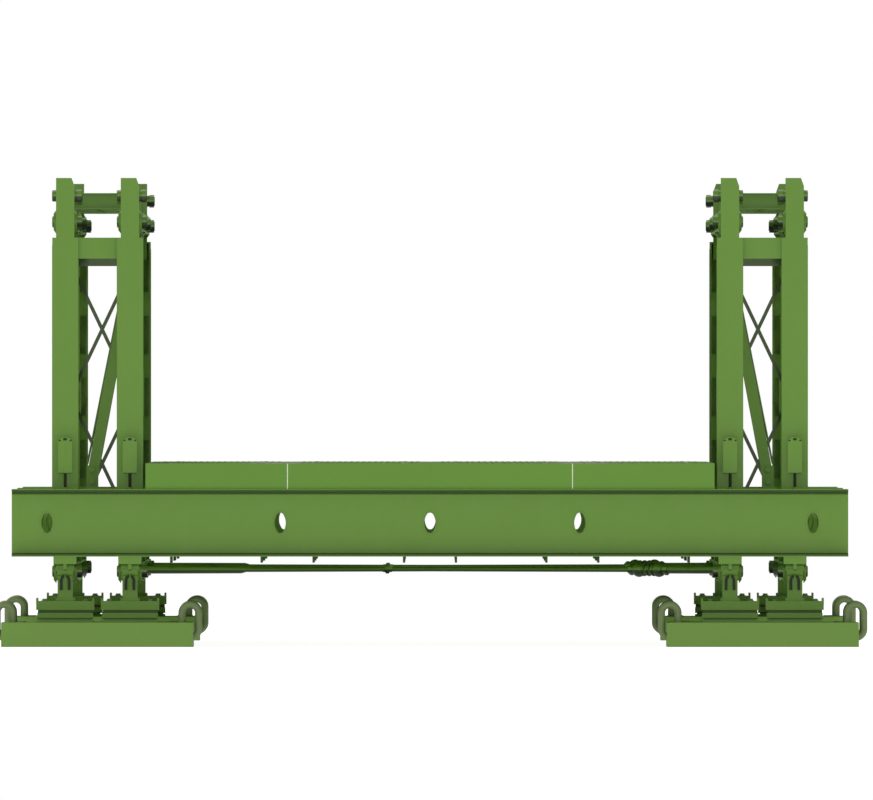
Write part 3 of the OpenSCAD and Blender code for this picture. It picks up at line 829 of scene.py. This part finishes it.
@dataclass
class Trusses:
    """Gusset plates and weld runs of the eight panels."""

    web_half: float = 0.032
    gusset_t: float = 0.006
    chord_gusset: tuple[Flat, ...] = (
        (-0.165, 0.047), (0.165, 0.047), (0.14, 0.115), (0.042, 0.19), (-0.042, 0.19), (-0.14, 0.115),
    )
    middle_gusset: tuple[Flat, ...] = (
        (-0.042, -0.165), (0.042, -0.165), (0.115, -0.09), (0.115, 0.09),
        (0.042, 0.165), (-0.042, 0.165), (-0.115, 0.09), (-0.115, -0.09),
    )
    end_gusset: tuple[Flat, ...] = (
        (0.034, -0.16), (0.034, 0.16), (-0.042, 0.16), (-0.115, 0.085), (-0.115, -0.085), (-0.042, -0.16),
    )
    jaw_reach: float = 0.26
    weld: float = 0.0045
    weld_inset: float = 0.004
    foot_half: float = 0.037
    foot_long: float = 0.03

    def build(self, finishes: Finishes) -> None:
        """Adds the gussets and welds, one piece to a truss.

        Args:
            finishes: The bridge's finishes.
        """
        for number, (_, x) in enumerate(SET_OUT.trusses()):
            plates, welds = Shape(), Shape()
            for bay in (-1, 1):
                self._panel(plates, x, bay * SET_OUT.bay / 2)
                self._panel_welds(welds, x, bay * SET_OUT.bay / 2)
            add_piece(f"gussets_{number}", plates.mesh("gussets"), finishes.paint)
            add_piece(f"panel_welds_{number}", welds.mesh("welds"), finishes.paint)

    def _panel(self, shape: Shape, x: float, y: float) -> None:
        """Adds one panel's gussets on both faces of its web members.

        Args:
            shape: Shape that they join.
            x: The truss's centre line.
            y: Middle of the panel.
        """
        for face in (-1, 1):
            near = x + face * (self.web_half - SINK)
            far = x + face * (self.web_half + self.gusset_t)
            for end in (-1, 1):
                for pin, up in ((SET_OUT.lower_pin, 1), (SET_OUT.upper_pin, -1)):
                    at = y + end * SET_OUT.edge / 2
                    shape.plate([(at + a, pin + up * b) for a, b in self.chord_gusset], Axis.X, near, far)
                at = y + end * SET_OUT.edge
                shape.plate([(at + end * a, SET_OUT.mid_z + b) for a, b in self.end_gusset], Axis.X, near, far)
            shape.plate([(y + a, SET_OUT.mid_z + b) for a, b in self.middle_gusset], Axis.X, near, far)

    def _panel_welds(self, shape: Shape, x: float, y: float) -> None:
        """Adds the weld runs at the jaws' ends and along the feet of the web members.

        Args:
            shape: Shape that they join.
            x: The truss's centre line.
            y: Middle of the panel.
        """
        jaw_end = y - SET_OUT.bay / 2 + self.jaw_reach
        reach = SET_OUT.chord_half_h - self.weld_inset
        for pin, inward in ((SET_OUT.lower_pin, 1), (SET_OUT.upper_pin, -1)):
            top = pin + inward * SET_OUT.chord_half_h
            for face in (-1, 1):
                at = x + face * (SET_OUT.chord_half_w - 0.001)
                shape.bar((at, jaw_end, pin - reach), (at, jaw_end, pin + reach), self.weld, 8, 0.001)
                out = x + face * self.web_half
                within = out - face * self.foot_long
                for spot in (-SET_OUT.edge, -SET_OUT.edge / 2, 0.0, SET_OUT.edge / 2, SET_OUT.edge):
                    for side in (-self.foot_half, self.foot_half):
                        foot = y + spot + side
                        shape.bar((within, foot, top), (out, foot, top), self.weld, 8)

    def dress(self, finishes: Finishes) -> None:
        """Paints the panels."""
        dress_nodes("panel_left", finishes.paint)
        dress_nodes("panel_right", finishes.paint)


@dataclass
class EndPosts:
    """Weld runs and tie bolts of the end posts."""

    half_w: float = 0.079
    half_d: float = 0.055
    tie_low: float = 2.368
    tie_high: float = 2.496
    bolt_across: float = 0.085
    bolt_inset: float = 0.035
    bolt_y: float = 0.02
    weld: float = 0.004
    weld_z: Flat = (0.60, 2.45)
    shelf_z: float = 0.505
    shelf_half: float = 0.06

    def build(self, finishes: Finishes) -> None:
        """Adds the welds and the tie bolts.

        Args:
            finishes: The bridge's finishes.
        """
        welds, bolts = Shape(), Shape()
        head = bolt_head(0.03, 0.016)
        for end in (-1, 1):
            back, front = (end * (SET_OUT.post_y + side * self.half_d) for side in (-1, 1))
            for _, x in SET_OUT.trusses():
                for face in (-1, 1):
                    corner = x + face * (self.half_w - 0.001)
                    low, high = ((corner, back, z) for z in self.weld_z)
                    welds.bar(low, high, self.weld, 6)
                left, right = ((x + side * self.shelf_half, front, self.shelf_z) for side in (-1, 1))
                welds.bar(left, right, self.weld, 6)
            for side in (-1, 1):
                for across in (-self.bolt_across, self.bolt_across):
                    for height in (self.tie_low + self.bolt_inset, self.tie_high - self.bolt_inset):
                        spot = (side * SET_OUT.side_x + across, end * (SET_OUT.post_y + self.bolt_y), height)
                        bolts.stamp(head, [facing(spot, (0, -end, 0))])
        add_piece("post_welds", welds.mesh("post_welds"), finishes.paint)
        add_piece("tie_bolts", bolts.mesh("tie_bolts"), finishes.bolt)

    def dress(self, finishes: Finishes) -> None:
        """Paints the posts and their ties."""
        dress_nodes("end_posts", finishes.paint)
        dress_nodes("post_ties", finishes.paint)


@dataclass
class Bearings:
    """Bolts of the rocker bearings, with painted shade: near-black strips on the keepers and dark bands in the
    recesses round each base.
    """

    base_top: float = 0.278
    half_x: float = 0.177
    half_y: float = 0.105
    bolt_x: float = 0.125
    bolt_y: float = 0.08
    keeper_face: float = 0.073
    shade_strip_t: float = 0.004
    leg: tuple[Flat, ...] = (
        (0.033, 0.345), (0.033, 0.405), (0.024, 0.430), (0.004, 0.441),
        (0.004, 0.427), (0.015, 0.411), (0.016, 0.345),
    )
    grooves: tuple[tuple[float, float, float], ...] = ((0.207, 0.223, 0.010), (0.170, 0.175, 0.006))

    def build(self, finishes: Finishes) -> None:
        """Adds the hold-down bolts, the keepers' painted-shade strips and the painted-shade bands round each
        base.

        Args:
            finishes: The bridge's finishes.
        """
        bolts, shade_strips, seams = Shape(), Shape(), Shape()
        head = bolt_head(0.034, 0.014)
        for end in (-1, 1):
            for _, x in SET_OUT.trusses():
                y = end * SET_OUT.post_y
                places = [
                    facing((x + a * self.bolt_x, y + b * self.bolt_y, self.base_top), (0, 0, 1))
                    for a in (-1, 1)
                    for b in (-1, 1)
                ]
                bolts.stamp(head, places)
                # Painted shade: near-black strips over the keepers' hoops stand in for the shade in their
                # grooves.
                face = y + end * self.keeper_face
                for side in (-1, 1):
                    leg = [(x + side * a, b) for a, b in self.leg]
                    shade_strips.plate(leg, Axis.Y, face, face + end * self.shade_strip_t, 0.001)
                # Painted shade: dark bands fill the set-back recesses round the base, where shade falls.
                for low, high, inset in self.grooves:
                    w, d = self.half_x - inset, self.half_y - inset
                    seams.block((x - w, y - d, low), (x + w, y + d, high), 0.001)
        add_piece("bearing_bolts", bolts.mesh("bearing_bolts"), finishes.bolt)
        add_piece("keeper_shade_strips", shade_strips.mesh("keeper_shade_strips"), finishes.shadow)
        add_piece("bearing_recess_shade", seams.mesh("bearing_recess_shade"), finishes.line)

    def dress(self, finishes: Finishes) -> None:
        """Paints the bearings."""
        dress_nodes("bearings", finishes.cast)


@dataclass
class BasePlates:
    """Edge seams, picket rings and ring collars of the base plates."""

    half_x: float = 0.585
    half_y: float = 0.42
    top: float = 0.148
    ring_x: float = 0.566
    ring_y: float = 0.34
    leg: float = 0.0505
    collar_r: float = 0.022
    picket_x: float = 0.47
    picket_y: float = 0.33
    picket_r: float = 0.026
    wire: float = 0.006
    seam: float = 0.003
    seam_short: float = 0.02
    seam_inset: float = 0.012

    def build(self, finishes: Finishes) -> None:
        """Adds the seams, the rings and the collars.

        Args:
            finishes: The bridge's finishes.
        """
        seams, rings = Shape(), Shape()
        for end in (-1, 1):
            for side in (-1, 1):
                x, y = side * SET_OUT.side_x, end * SET_OUT.post_y
                for a in (-1, 1):
                    for b in (-1, 1):
                        spot = (x + a * self.picket_x, y + b * self.picket_y, self.top + 0.001)
                        rings.hoop(spot, (0, 0, 1), self.picket_r, self.wire)
                        collar = (x + a * (self.ring_x - self.leg), y + b * self.ring_y, self.top)
                        seams.hoop(collar, (0, 0, 1), self.collar_r, self.wire, 16)
                for b in (-1, 1):
                    run = y + b * (self.half_y - self.seam_inset)
                    left, right = ((x + a * (self.half_x - self.seam_short), run, self.top) for a in (-1, 1))
                    seams.bar(left, right, self.seam, 6)
        add_piece("plate_seams", seams.mesh("plate_seams"), finishes.plate)
        add_piece("picket_rings", rings.mesh("picket_rings"), finishes.brace)

    def dress(self, finishes: Finishes) -> None:
        """Paints the plates and their lifting rings."""
        dress_nodes("base_plate", finishes.plate)
        dress_nodes("lifting_rings", finishes.ring)


@dataclass
class Transoms:
    """Hole rims of the six transoms, with painted shade: dark strips on the web under the top flange and above
    the bottom flange, and along both flanges' outer edges.
    """

    web_half: float = 0.005
    flange_t: float = 0.015
    hole_x: tuple[float, ...] = (-2.336, -0.914, 0.0, 0.914, 2.336)
    hole: Flat = (0.068, 0.124)
    rim: Flat = (0.010, 0.002)
    rim_t: float = 0.003
    flange_shade_t: float = 0.006
    low_flange_shade: float = 0.007
    high_flange_shade: float = 0.017
    edge_shade_t: float = 0.0016
    top_edge_shade: Flat = (0.0145, 0.0045)
    bottom_edge_shade: Flat = (0.006, 0.0145)

    def build(self, finishes: Finishes) -> None:
        """Adds the rims and the painted-shade strips, one piece of each to a transom.

        Args:
            finishes: The bridge's finishes.
        """
        for name in sorted(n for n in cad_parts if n.startswith("transom_") and "clamp" not in n):
            low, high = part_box(name)
            y, middle = (low.y + high.y) / 2, (low.z + high.z) / 2
            left, right = low.x + 0.001, high.x - 0.001
            trim, shade_lines = Shape(), Shape()
            for face in (-1, 1):
                near = y + face * self.web_half
                inside, outside = near - face * SINK, near + face * self.flange_shade_t
                # Painted shade: dark strips on the web in the creases under the top flange and above the bottom
                # flange.
                for height, depth in (
                    (low.z + self.flange_t, self.low_flange_shade),
                    (high.z - self.flange_t, -self.high_flange_shade),
                ):
                    shade_lines.block((left, inside, height), (right, outside, height + depth))
                # Painted shade: dark strips along the outer edges of the top and bottom flanges.
                edge = (high.y if face > 0 else low.y) - face * SINK
                for bottom, top in (
                    (high.z - self.top_edge_shade[0], high.z - self.top_edge_shade[1]),
                    (low.z + self.bottom_edge_shade[0], low.z + self.bottom_edge_shade[1]),
                ):
                    shade_lines.block((left, edge, bottom), (right, edge + face * self.edge_shade_t, top), 0.0)
                for x in self.hole_x:
                    outer, inner = (oval((x, middle), *self.hole, grow) for grow in self.rim)
                    trim.collar(outer, inner, Axis.Y, inside, near + face * self.rim_t)
            add_piece(f"{name}_rims", trim.mesh("rims"), finishes.paint)
            add_piece(f"{name}_painted_shade_lines", shade_lines.mesh("shade_lines"), finishes.line)

    def dress(self, finishes: Finishes) -> None:
        """Paints the transoms."""
        for spot in ("front", "back"):
            dress_nodes(f"transom_{spot}", finishes.paint)


@dataclass
class Deck:
    """Tread of the deck units, and strips in the joints between them, the outer ones pale as painted light
    through the gaps.
    """

    unit_w: float = 0.863
    near: float = 0.003
    far: float = 3.405
    low: float = 0.961
    margin: float = 0.04
    cell: float = 0.075
    lozenge: Point = (0.034, 0.010, 0.0018)
    lozenge_top: Flat = (0.6, 0.4)
    strip_half: float = 0.0034

    def _cell(self) -> bpy.types.Mesh:
        """Makes two crossed lozenges with sloping sides, stood on z = 0.

        Returns:
            The mesh of one cell.
        """
        shape = Shape()
        for spot, turn in (((0.0, 0.0), 45), ((self.cell / 2, self.cell / 2), -45)):
            made = bmesh.ops.create_cube(shape.bm, size=1.0)["verts"]
            bmesh.ops.scale(shape.bm, verts=made, vec=self.lozenge)
            bmesh.ops.scale(shape.bm, verts=[v for v in made if v.co.z > 0], vec=(*self.lozenge_top, 1))
            bmesh.ops.rotate(shape.bm, verts=made, matrix=Matrix.Rotation(math.radians(turn), 3, "Z"))
            bmesh.ops.translate(shape.bm, verts=made, vec=(*spot, self.lozenge[2] / 2 - SINK / 2))
        return shape.mesh("tread_cell")

    def build(self, finishes: Finishes) -> None:
        """Adds the tread and the strips between the units, the outer strips pale as painted light through the
        gaps.

        Args:
            finishes: The bridge's finishes.
        """
        across = int((self.unit_w - self.margin) / self.cell)
        along = int((self.far - self.near - self.margin) / self.cell)
        patch = arrayed(self._cell(), (across, along), (self.cell, self.cell))
        margin_x = (self.unit_w - (across - 0.5) * self.cell) / 2
        for number, unit in enumerate(SET_OUT.deck_units):
            x = unit * SET_OUT.deck_pitch - self.unit_w / 2 + margin_x
            for end, start in (("front", -self.far), ("back", self.near)):
                spot = (x, start + self.margin, SET_OUT.deck_top)
                tread = Shape().stamp(patch, [Matrix.Translation(spot)])
                add_piece(f"tread_{end}_{number}", tread.mesh("tread"), finishes.deck)
        # Painted light: the two outer joint strips are pale, standing in for the backdrop seen through the gaps.
        pale, plain = Shape(), Shape()
        for bay in (-1, 1):
            for joint, strip in ((-1, pale), (0, plain), (1, pale)):
                x = joint * SET_OUT.deck_pitch
                strip.block(
                    (x - self.strip_half, bay * (self.near + 0.002), self.low + 0.002),
                    (x + self.strip_half, bay * (self.far - 0.001), SET_OUT.deck_top - 0.002),
                    0.0,
                )
        add_piece("deck_gap_light_strips", pale.mesh("strips"), finishes.painted_gap_light)
        add_piece("deck_middle_strip", plain.mesh("strip"), finishes.deck)

    def dress(self, finishes: Finishes) -> None:
        """Paints the deck units."""
        dress_nodes("deck_units", finishes.deck)


@dataclass
class HookBolts:
    """Heads of the bolts that hold the deck."""

    rows: tuple[float, ...] = (-3.218, -2.714, -0.334, 0.334, 2.714, 3.218)
    x_from_unit: float = 0.276
    flange_r: float = 0.019
    flange_t: float = 0.0014
    hexagon_r: float = 0.011
    hexagon_top: float = 0.0024
    soft: float = 0.0005

    def build(self, finishes: Finishes) -> None:
        """Adds a head on the deck over each bolt.

        Args:
            finishes: The bridge's finishes.
        """
        head = Shape()
        head.bar((0, 0, -SINK), (0, 0, self.flange_t), self.flange_r, 16, self.soft)
        head.bar((0, 0, 0.001), (0, 0, self.hexagon_top), self.hexagon_r, 6, self.soft)
        places = [
            facing((unit * SET_OUT.deck_pitch + side * self.x_from_unit, y, SET_OUT.deck_top), (0, 0, 1))
            for unit in SET_OUT.deck_units
            for side in (-1, 1)
            for y in self.rows
        ]
        heads = Shape().stamp(head.mesh("deck_bolt_head"), places)
        add_piece("deck_bolt_heads", heads.mesh("heads"), finishes.bright)

    def dress(self, finishes: Finishes) -> None:
        """Finishes the bolts."""
        dress_nodes("hook_bolts", finishes.line)


@dataclass
class Bracing:
    """Bolts and edges of the rakers, upright frames and top frames."""

    raker_foot: Flat = (2.089, 1.03)
    raker_top: Flat = (1.879, 2.167)
    raker_half: float = 0.034
    raker_y: Flat = (0.133, 0.183)
    edge_rise: float = 0.075
    edge_sink: float = 0.008
    edge_t: float = 0.0095
    cleat_x: Flat = (1.914, 1.929)
    cleat_z: Flat = (1.712, 1.75)
    foot_bolts: tuple[float, ...] = (-0.03, 0.045)
    top_bolt: Flat = (0.006, 0.045)
    frame_y: float = -0.042
    frame_z: Flat = (0.694, 2.358)
    frame_bolt: float = 0.02
    rail_top: float = 2.671
    rail_start: float = 0.13
    rail_bolts: tuple[float, ...] = (0.075, 0.5, 0.93, 1.34, 1.49, 1.9, 2.33, 2.75)

    def build(self, finishes: Finishes) -> None:
        """Adds the bolts, the rakers' outer edges and their cleats.

        Args:
            finishes: The bridge's finishes.
        """
        edges, bolts, frame_bolts, cleats = Shape(), Shape(), Shape(), Shape()
        big, small = bolt_head(0.042, 0.022), bolt_head(0.028, 0.014)
        for side in (-1, 1):
            for end in (-1, 1):
                near, far = (end * v for v in self.raker_y)
                outline = [(side * x, z) for x, z in self._edge()]
                edges.plate(outline, Axis.Y, near - end * 0.001, far + end * 0.001)
                cleats.block(
                    (side * self.cleat_x[0], near, self.cleat_z[0]),
                    (side * self.cleat_x[1], far, self.cleat_z[1]),
                    0.003,
                )
                spots = [(self.raker_top[0] + self.top_bolt[0], self.raker_top[1] - self.top_bolt[1])]
                spots += [(self.raker_foot[0], self.raker_foot[1] + dz) for dz in self.foot_bolts]
                bolts.stamp(big, [facing((side * x, far, z), (0, end, 0)) for x, z in spots])
            for x in (side * v for v in SET_OUT.truss_x):
                for z in self.frame_z:
                    for dz in (-self.frame_bolt, self.frame_bolt):
                        frame_bolts.stamp(small, [facing((x, self.frame_y, z + dz), (0, 1, 0))])
                for bay in (-1, 1):
                    spots = [(x, bay * (self.rail_start + step), self.rail_top) for step in self.rail_bolts]
                    bolts.stamp(small, [facing(spot, (0, 0, 1)) for spot in spots])
        add_piece("raker_edges", edges.mesh("raker_edges"), finishes.brace)
        # Painted shade: the cleats are near-black.
        add_piece("raker_cleats", cleats.mesh("raker_cleats"), finishes.shadow)
        add_piece("bracing_bolts", bolts.mesh("bracing_bolts"), finishes.paint)
        add_piece("frame_bolts", frame_bolts.mesh("frame_bolts"), finishes.bolt)

    def _edge(self) -> list[Flat]:
        """Sets out the strip along a right-hand raker's outer edge.

        Returns:
            Its corners, across and up.
        """
        foot, top = Vector(self.raker_foot), Vector(self.raker_top)
        lean = (top - foot).normalized()
        outward = Vector((lean.y, -lean.x))
        within = outward * (self.raker_half - self.edge_sink)
        start, stop = foot + Vector((0, self.edge_rise)) + within, top + within
        return [tuple(v) for v in (start, stop, stop + outward * self.edge_t, start + outward * self.edge_t)]

    def dress(self, finishes: Finishes) -> None:
        """Paints rakers and frames.

        Args:
            finishes: The bridge's finishes.
        """
        dress_nodes("rakers", finishes.paint)
        dress_nodes("bracing_frame", finishes.lace)
        dress_nodes("top_frames", finishes.paint)


@dataclass
class SwayBraces:
    """Turnbuckles' ribs, painted-shade rings in the grooves between them, nuts, collars and hinge bolts of the
    crossed tie rods.
    """

    reach: Flat = (1.7595, 1.174)
    hinge_x: float = -0.262
    hinge_half: float = 0.026
    hinge_r: float = 0.014
    collar_x: float = -1.161
    collar_long: float = 0.03
    collar_r: Flat = (0.0235, 0.016)
    nut_x: tuple[float, ...] = (1.225, 1.437)
    nut_long: float = 0.022
    nut_r: float = 0.033
    rib_x: tuple[float, ...] = (1.312, 1.342, 1.372)
    rib_r: float = 0.039
    groove_x: tuple[float, ...] = (1.327, 1.357)
    groove_r: float = 0.0345
    ring_half: float = 0.005

    def _spot(self, bay: int, lean: int, x: float) -> Vector:
        """Point on a rod's middle line at a distance across the bridge."""
        across, along = self.reach
        return Vector((x, bay * SET_OUT.bay / 2 + lean * along * x / across, SET_OUT.rod_z))

    def _ring(self, shape: Shape, bay: int, lean: int, x: float, radius: float) -> None:
        """Adds a round ring about a turnbuckle's barrel, used for the ribs and for the painted shade in the
        grooves.
        """
        start, end = (self._spot(bay, lean, x + side * self.ring_half) for side in (-1, 1))
        shape.bar(start, end, radius, 24, 0.002)

    def build(self, finishes: Finishes) -> None:
        """Adds the turnbuckles' ribs, the painted-shade rings in their grooves and the nuts, the collars and the
        hinge bolts.

        Args:
            finishes: The bridge's finishes.
        """
        for name, bay in (("front", -1), ("back", 1)):
            shape, dark = Shape(), Shape()
            for lean in (-1, 1):
                for x in self.nut_x:
                    start, end = self._spot(bay, lean, x), self._spot(bay, lean, x + self.nut_long)
                    shape.bar(start, end, self.nut_r, 6, 0.003)
                for x in self.rib_x:
                    self._ring(shape, bay, lean, x, self.rib_r)
                # Painted shade: dark rings between the ribs stand in for the shade in the grooves.
                for x in self.groove_x:
                    self._ring(dark, bay, lean, x, self.groove_r)
                hinge, rise = self._spot(bay, lean, self.hinge_x), Vector((0, 0, self.hinge_half))
                shape.bar(hinge - rise, hinge + rise, self.hinge_r, 6, 0.002)
                start, end = (self._spot(bay, lean, self.collar_x + far) for far in (0.0, self.collar_long))
                shape.bar(start, end, self.collar_r[0], 12, 0.003, self.collar_r[1])
            add_piece(f"sway_nuts_{name}", shape.mesh("sway_nuts"), finishes.rod)
            add_piece(f"turnbuckle_groove_shade_{name}", dark.mesh("grooves"), finishes.line)

    def dress(self, finishes: Finishes) -> None:
        """Paints the rods."""
        # The rod finish paints shade near-black on the rods' undersides.
        dress_nodes("sway_brace", finishes.rod)


@dataclass
class Pins:
    """Safety clips and head bosses of the panel pins and the head pins."""

    tip: float = 0.0785
    head: float = 0.1005
    head_pin_shift: float = -0.0005
    clip_r: float = 0.019
    clip_half: float = 0.03
    wire: float = 0.003
    boss_r: float = 0.03
    boss_t: float = 0.004

    def build(self, finishes: Finishes) -> None:
        """Adds a clip at each tip and a boss on each head.

        Args:
            finishes: The bridge's finishes.
        """
        clips, bosses = Shape(), Shape()
        spots = [
            (y, z, 0.0)
            for y in (-SET_OUT.bay, 0.0, SET_OUT.bay)
            for z in (SET_OUT.lower_pin, SET_OUT.upper_pin)
        ]
        spots += [(end * SET_OUT.post_y, SET_OUT.head_pin, self.head_pin_shift) for end in (-1, 1)]
        for side, x in SET_OUT.trusses():
            for y, z, shift in spots:
                tip = x + side * (self.tip + shift)
                clips.hoop((tip, y, z), (1, 0, 0), self.clip_r, self.wire, 16)
                clips.bar((tip, y, z - self.clip_half), (tip, y, z + self.clip_half), self.wire, 6)
                head = x - side * (self.head + shift)
                bosses.bar((head + side * SINK, y, z), (head - side * self.boss_t, y, z), self.boss_r, 20, 0.002)
        add_piece("pin_clips", clips.mesh("pin_clips"), finishes.brace)
        add_piece("pin_bosses", bosses.mesh("pin_bosses"), finishes.pin)

    def dress(self, finishes: Finishes) -> None:
        """Finishes the pins."""
        # The pin finish paints shade near-black on the pins' undersides.
        dress_nodes("panel_pins", finishes.pin)


@dataclass
class Clamps:
    """Screws, tommy bars and marks of the transom clamps, all near-black as painted shade."""

    low: float = 0.961
    body: float = 1.061
    screw_y: float = 3.265
    screw_r: float = 0.0088
    screw_inset: Flat = (0.011, 0.002)
    threads: int = 8
    thread_start: float = 0.018
    pitch: float = 0.010
    thread_r: float = 0.0018
    bar_half: float = 0.02
    bar_drop: float = 0.022
    bar_r: float = 0.005
    face_y: float = 3.288
    shade_mark_t: float = 0.002
    shade_marks: tuple[tuple[float, float, float, float], ...] = (
        (0.0, 1.266, 0.011, 0.007), (-0.033, 1.258, 0.006, 0.004), (0.033, 1.258, 0.006, 0.004),
    )

    def build(self, finishes: Finishes) -> None:
        """Adds the screws with their threads, the tommy bars and the marks, all near-black as painted shade.

        Args:
            finishes: The bridge's finishes.
        """
        gear, bars, marks = Shape(), Shape(), Shape()
        for end in (-1, 1):
            for _, x in SET_OUT.trusses():
                y = end * self.screw_y
                foot, head = self.low + self.screw_inset[0], self.body - self.screw_inset[1]
                gear.bar((x, y, foot), (x, y, head), self.screw_r, 14)
                for step in range(self.threads):
                    height = self.low + self.thread_start + step * self.pitch
                    gear.hoop((x, y, height), (0, 0, 1), self.screw_r, self.thread_r, 14, 5)
                height = self.body - self.bar_drop
                bars.bar((x, y - self.bar_half, height), (x, y + self.bar_half, height), self.bar_r, 10, 0.001)
                face = end * self.face_y
                for across, height, half, tall in self.shade_marks:
                    marks.block(
                        (x + across - half, face - end * self.shade_mark_t, height - tall),
                        (x + across + half, face + end * self.shade_mark_t, height + tall),
                        0.001,
                    )
        # Painted shade: screws, tommy bars and marks are near-black, standing in for the dark slit below the
        # clamp and the shaded arc at its top.
        add_piece("clamp_screws", gear.mesh("clamp_screws"), finishes.shadow)
        add_piece("clamp_bars", bars.mesh("clamp_bars"), finishes.shadow)
        add_piece("clamp_shade_marks", marks.mesh("clamp_shade_marks"), finishes.shadow)

    def dress(self, finishes: Finishes) -> None:
        """Paints the clamps."""
        dress_nodes("transom_clamps", finishes.paint)


@dataclass
class Studio:
    """Pale floor, soft light and the camera."""

    floor_r: float = 45.0
    floor_color: Point = (0.36, 0.36, 0.355)
    floor_glow: float = 0.91
    floor_drop: float = 0.001
    sensor: float = 36.0
    clip: tuple[float, float] = (20.0, 800.0)
    lens: float = 1560.0
    eye: Point = (0.0397, -234.06, 1.505)
    seen: float = 1.0
    ambient: float = 0.5
    suns: tuple[tuple[str, float, float, float, float], ...] = (
        ("front_sun", 0.0, 4.0, 0.75, 1.0),
        ("top_sun", 205.0, 62.0, 1.3, 18.0),
        ("left_sun", -95.0, 28.0, 0.6, 12.0),
        ("right_sun", 100.0, 24.0, 0.35, 12.0),
    )

    def build(self) -> None:
        """Sets the floor, world, suns and camera."""
        self._floor()
        self._world()
        for name, azimuth, elevation, strength, spread in self.suns:
            self._sun(name, azimuth, elevation, strength, spread)
        self._camera()
        bpy.context.scene.view_settings.view_transform = "Standard"

    def _floor(self) -> None:
        """Lays a round floor that stays pale in the bridge's shade."""
        shape = Shape()
        bmesh.ops.create_circle(shape.bm, cap_ends=True, segments=96, radius=self.floor_r)
        mesh = shape.mesh("floor")
        r = Recipe("pale_floor")
        mesh.materials.append(
            r.surface(
                {
                    "Base Color": solid(self.floor_color),
                    "Roughness": 0.9,
                    "Emission Color": (1.0, 1.0, 1.0, 1.0),
                    "Emission Strength": self.floor_glow,
                }
            )
        )
        floor = bpy.data.objects.new("floor", mesh)
        bpy.context.scene.collection.objects.link(floor)
        floor.location.z = -self.floor_drop

    def _world(self) -> None:
        """Makes a white backdrop that lights more softly than it looks."""
        world = bpy.data.worlds.new("studio")
        world.use_nodes = True
        bpy.context.scene.world = world
        nodes, links = world.node_tree.nodes, world.node_tree.links
        nodes.clear()
        seen, lit = nodes.new("ShaderNodeBackground"), nodes.new("ShaderNodeBackground")
        seen.inputs["Strength"].default_value = self.seen
        lit.inputs["Strength"].default_value = self.ambient
        for shade in (seen, lit):
            shade.inputs["Color"].default_value = (1.0, 1.0, 1.0, 1.0)
        path, mix, out = (
            nodes.new(kind) for kind in ("ShaderNodeLightPath", "ShaderNodeMixShader", "ShaderNodeOutputWorld")
        )
        links.new(path.outputs["Is Camera Ray"], mix.inputs[0])
        links.new(lit.outputs[0], mix.inputs[1])
        links.new(seen.outputs[0], mix.inputs[2])
        links.new(mix.outputs[0], out.inputs["Surface"])

    def _sun(self, name: str, azimuth: float, elevation: float, strength: float, spread: float) -> None:
        """Adds a sun.

        Args:
            name: Its name.
            azimuth: Direction that it shines from in degrees, 0 being in front.
            elevation: Its height in degrees.
            strength: Its strength.
            spread: Its width in degrees.
        """
        data = bpy.data.lights.new(name, "SUN")
        data.energy = strength
        data.angle = math.radians(spread)
        lamp = bpy.data.objects.new(name, data)
        a, e = math.radians(azimuth), math.radians(elevation)
        towards = Vector((math.sin(a) * math.cos(e), -math.cos(a) * math.cos(e), math.sin(e)))
        lamp.rotation_euler = towards.to_track_quat("Z", "Y").to_euler()
        bpy.context.scene.collection.objects.link(lamp)

    def _camera(self) -> None:
        """Looks square at the end of the bridge from far away."""
        data = bpy.data.cameras.new("camera")
        data.sensor_width = self.sensor
        data.lens = self.lens
        data.clip_start, data.clip_end = self.clip
        camera = bpy.data.objects.new("camera", data)
        camera.location = self.eye
        camera.rotation_euler = (math.pi / 2, 0.0, 0.0)
        bpy.context.scene.collection.objects.link(camera)
        bpy.context.scene.camera = camera


def main() -> None:
    """Builds and paints each sub-assembly in order, then sets the studio."""
    logging.basicConfig(level=logging.INFO, format="%(name)s: %(message)s")
    finishes = Finishes()
    for assembly in (
        Trusses(),
        EndPosts(),
        Bearings(),
        BasePlates(),
        Transoms(),
        Deck(),
        HookBolts(),
        Bracing(),
        SwayBraces(),
        Pins(),
        Clamps(),
    ):
        assembly.build(finishes)
        assembly.dress(finishes)
        LOG.info("%s done", type(assembly).__name__)
    Studio().build()


if __name__ == "__main__":
    main()
